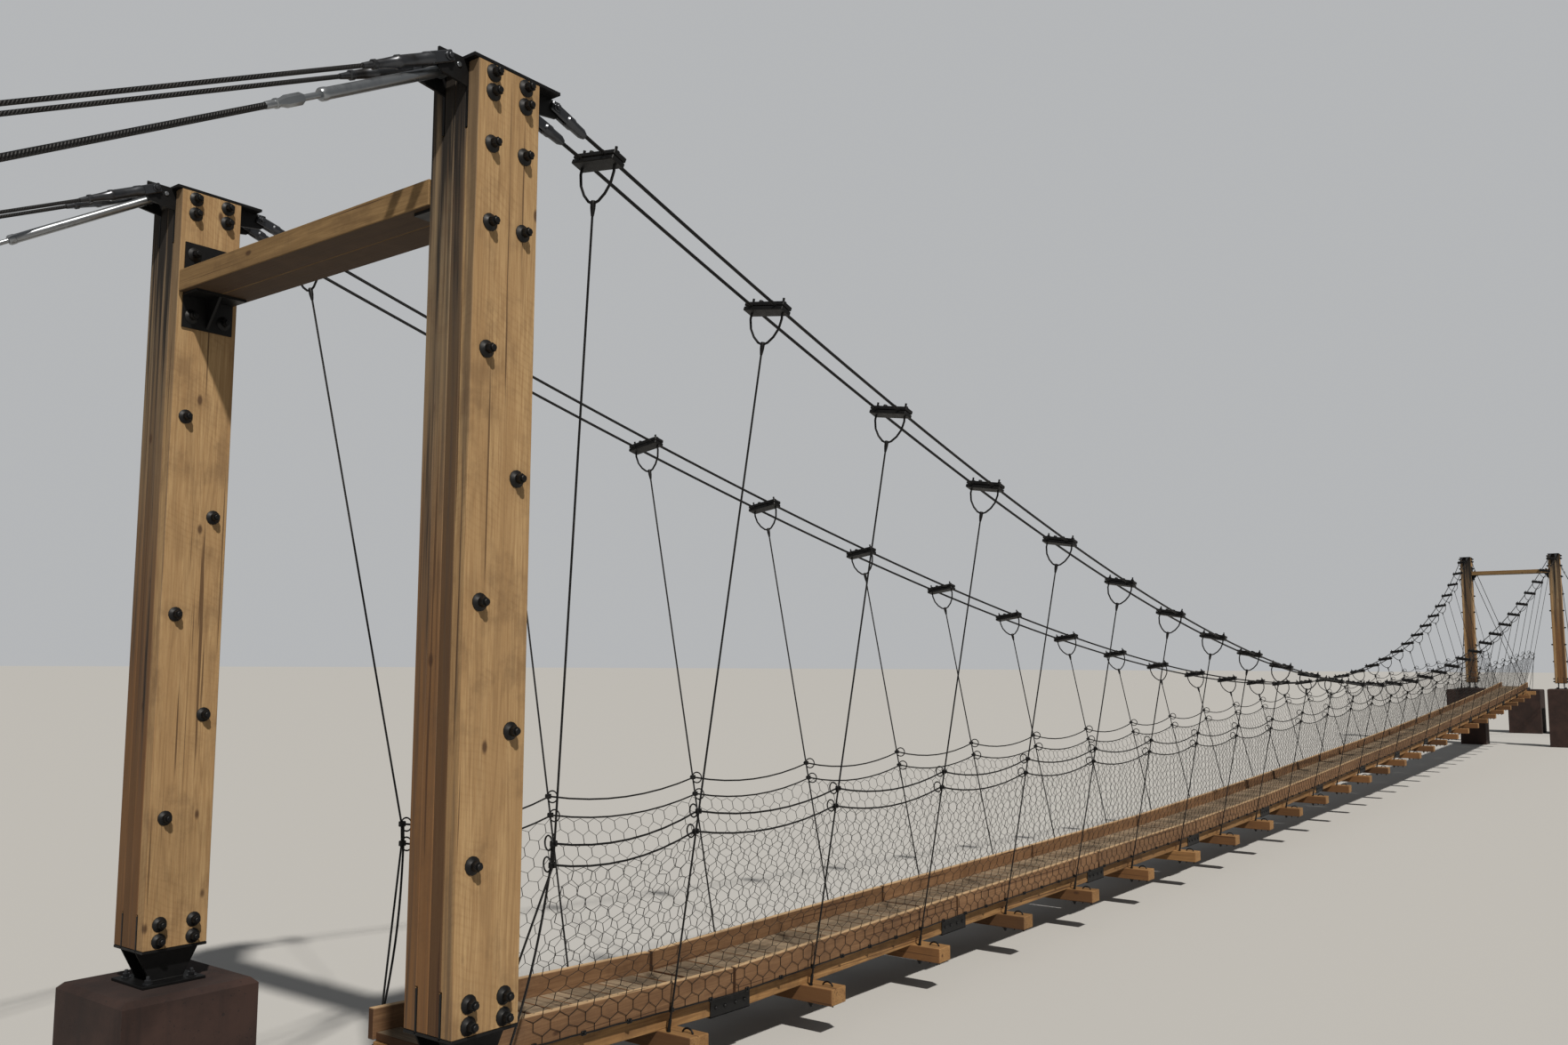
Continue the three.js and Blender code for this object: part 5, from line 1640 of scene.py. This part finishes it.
# %% [markdown]
# ### The stays of each post
#
# Each post gets its pair, its single stay, the hubs on the pins and the tightener. Its three pieces could be one,
# but the ropes, the dull sockets and the bright tubes each need their own finish.

# %% The stays
for name, centre_y, side, move in tower_posts():
    ropes, sockets, rods = Gather(), Gather(), Gather()
    pair, single = (unit(vec(-1, side * spread, -fall)) for fall, spread in (PAIR_RUN, SINGLE_RUN))
    middle, pin = (vec(x, centre_y, z) for x, z in (STAY_PIN, SINGLE_PIN))
    for offset in (-SLOT_OFFSET, SLOT_OFFSET):
        at = middle + vec(0, offset, 0)
        socket(sockets, at, pair, STAY_SOCKET)
        stay_rope(ropes, sockets, at, pair, 340, STAY_RADIUS)
    foot_plate(sockets, rods, stay_foot(middle, pair), (-SLOT_OFFSET, SLOT_OFFSET))
    foot_plate(sockets, rods, stay_rope(ropes, sockets, pin, single, 900, SINGLE_RADIUS), (0,))
    for hub in (middle, pin):
        lathe(rods, hub + vec(0, -75, 0), (0, 1, 0), [(0, 8), (2, 10), (148, 10), (150, 8)], 12)
        lathe(rods, hub + vec(0, -45, 0), (0, 1, 0), [(0, 20), (2, 22), (88, 22), (90, 20)], 14)
    for distance, part in TIGHTENER:
        fasten(rods, pin + single * distance, single, part)
    ropes.make(f"stay_ropes_{name}", wire_rope, "cable_steel", [f"stays_{name}"], move=move)
    sockets.make(f"stay_sockets_{name}", socket_steel, "cable_steel", move=move)
    rods.make(f"stay_rods_{name}", galvanised, "cable_steel", move=move)

# %% [markdown]
# ## What the packed model keeps
#
# The piers, the blocks of the stays, the caps and the beam brackets already have their real shape, with chamfers
# and pins. Building them again would gain nothing, so they stay and only get their finish.

# %% Finishes for the packed nodes
KEPT = {"pier": concrete, "anchor_block": concrete, "guy_block": concrete, "post_cap": black_steel,
        "beam_bracket": black_steel}
for name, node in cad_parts.items():
    for start, material in KEPT.items():
        if name.startswith(start):
            node.data.materials.clear()
            node.data.materials.append(material)
print("kept nodes", sum(name.startswith(tuple(KEPT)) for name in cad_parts))

# %% [markdown]
# ## The studio
#
# ### Floor
#
# The bridge stands on a plain pale floor. A round sheet reaches far beyond it, so that its edge reads as a level
# horizon and not as the corner of a square.

# %% The floor
FLOOR_RADIUS, FLOOR_SIDES = 260, 64
floor_mesh = bpy.data.meshes.new("studio_floor")
angles = np.linspace(0, 2 * math.pi, FLOOR_SIDES, endpoint=False)
rim = [(FLOOR_RADIUS * math.cos(a), FLOOR_RADIUS * math.sin(a), 0) for a in angles]
floor_mesh.from_pydata(rim, [], [tuple(range(FLOOR_SIDES))])
floor_material, graph, shader = new_material("studio_floor")
graph.fill(shader, Base_Color=(0.47, 0.465, 0.45, 1), Roughness=0.9)
floor_mesh.materials.append(floor_material)
put_in_scene("studio_floor", floor_mesh)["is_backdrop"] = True
print("floor radius", FLOOR_RADIUS)

# %% [markdown]
# ### Light
#
# Soft light comes from all round and one sun stands high on the camera's side, so that the bolts throw short
# shadows down the faces of the posts. Area lamps would fade along so long a bridge, and a sun doesn't. What the
# camera sees behind the bridge is a grey of its own: a backdrop as dim as the soft light would swallow the ropes.

# %% The light
SOFT_COLOUR, SOFT_STRENGTH, BACKDROP = (0.86, 0.88, 0.9, 1), 0.2, (0.46, 0.47, 0.48, 1)
SUN_STRENGTH, SUN_WIDTH, SUN_COLOUR, SUN_AHEAD = 4.0, 2, (1.0, 0.95, 0.88), (0.66, 1.0, -1.33)
world = bpy.data.worlds.new("studio_sky")
bpy.context.scene.world = world
world.use_nodes = True
sky = Graph(world.node_tree)
soft = sky.fill(world.node_tree.nodes["Background"], Color=SOFT_COLOUR, Strength=SOFT_STRENGTH)
backdrop = sky.add("ShaderNodeBackground", Color=BACKDROP, Strength=1.0)
seen = sky.add("ShaderNodeLightPath").outputs["Is Camera Ray"]
both = sky.add("ShaderNodeMixShader")
for number, value in enumerate((seen, soft.outputs[0], backdrop.outputs[0])):
    sky.set(both, number, value)
sky.fill(world.node_tree.nodes["World Output"], Surface=both.outputs[0])

sun_data = bpy.data.lights.new("soft_sun", "SUN")
sun_data.energy, sun_data.angle, sun_data.color = SUN_STRENGTH, math.radians(SUN_WIDTH), SUN_COLOUR
sun = put_in_scene("soft_sun", sun_data)
sun.rotation_mode = "QUATERNION"
sun.rotation_quaternion = Vector(SUN_AHEAD).to_track_quat("-Z", "Y")
bpy.context.scene.view_settings.view_transform = "Standard"
print("triangles in all", sum(made.values()))

# %% [markdown] ## The last lines The box round everything shown, without the floor, is worked out and printed.

# %% The last lines
low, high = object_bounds()
print("visual box", tuple(low), tuple(high))
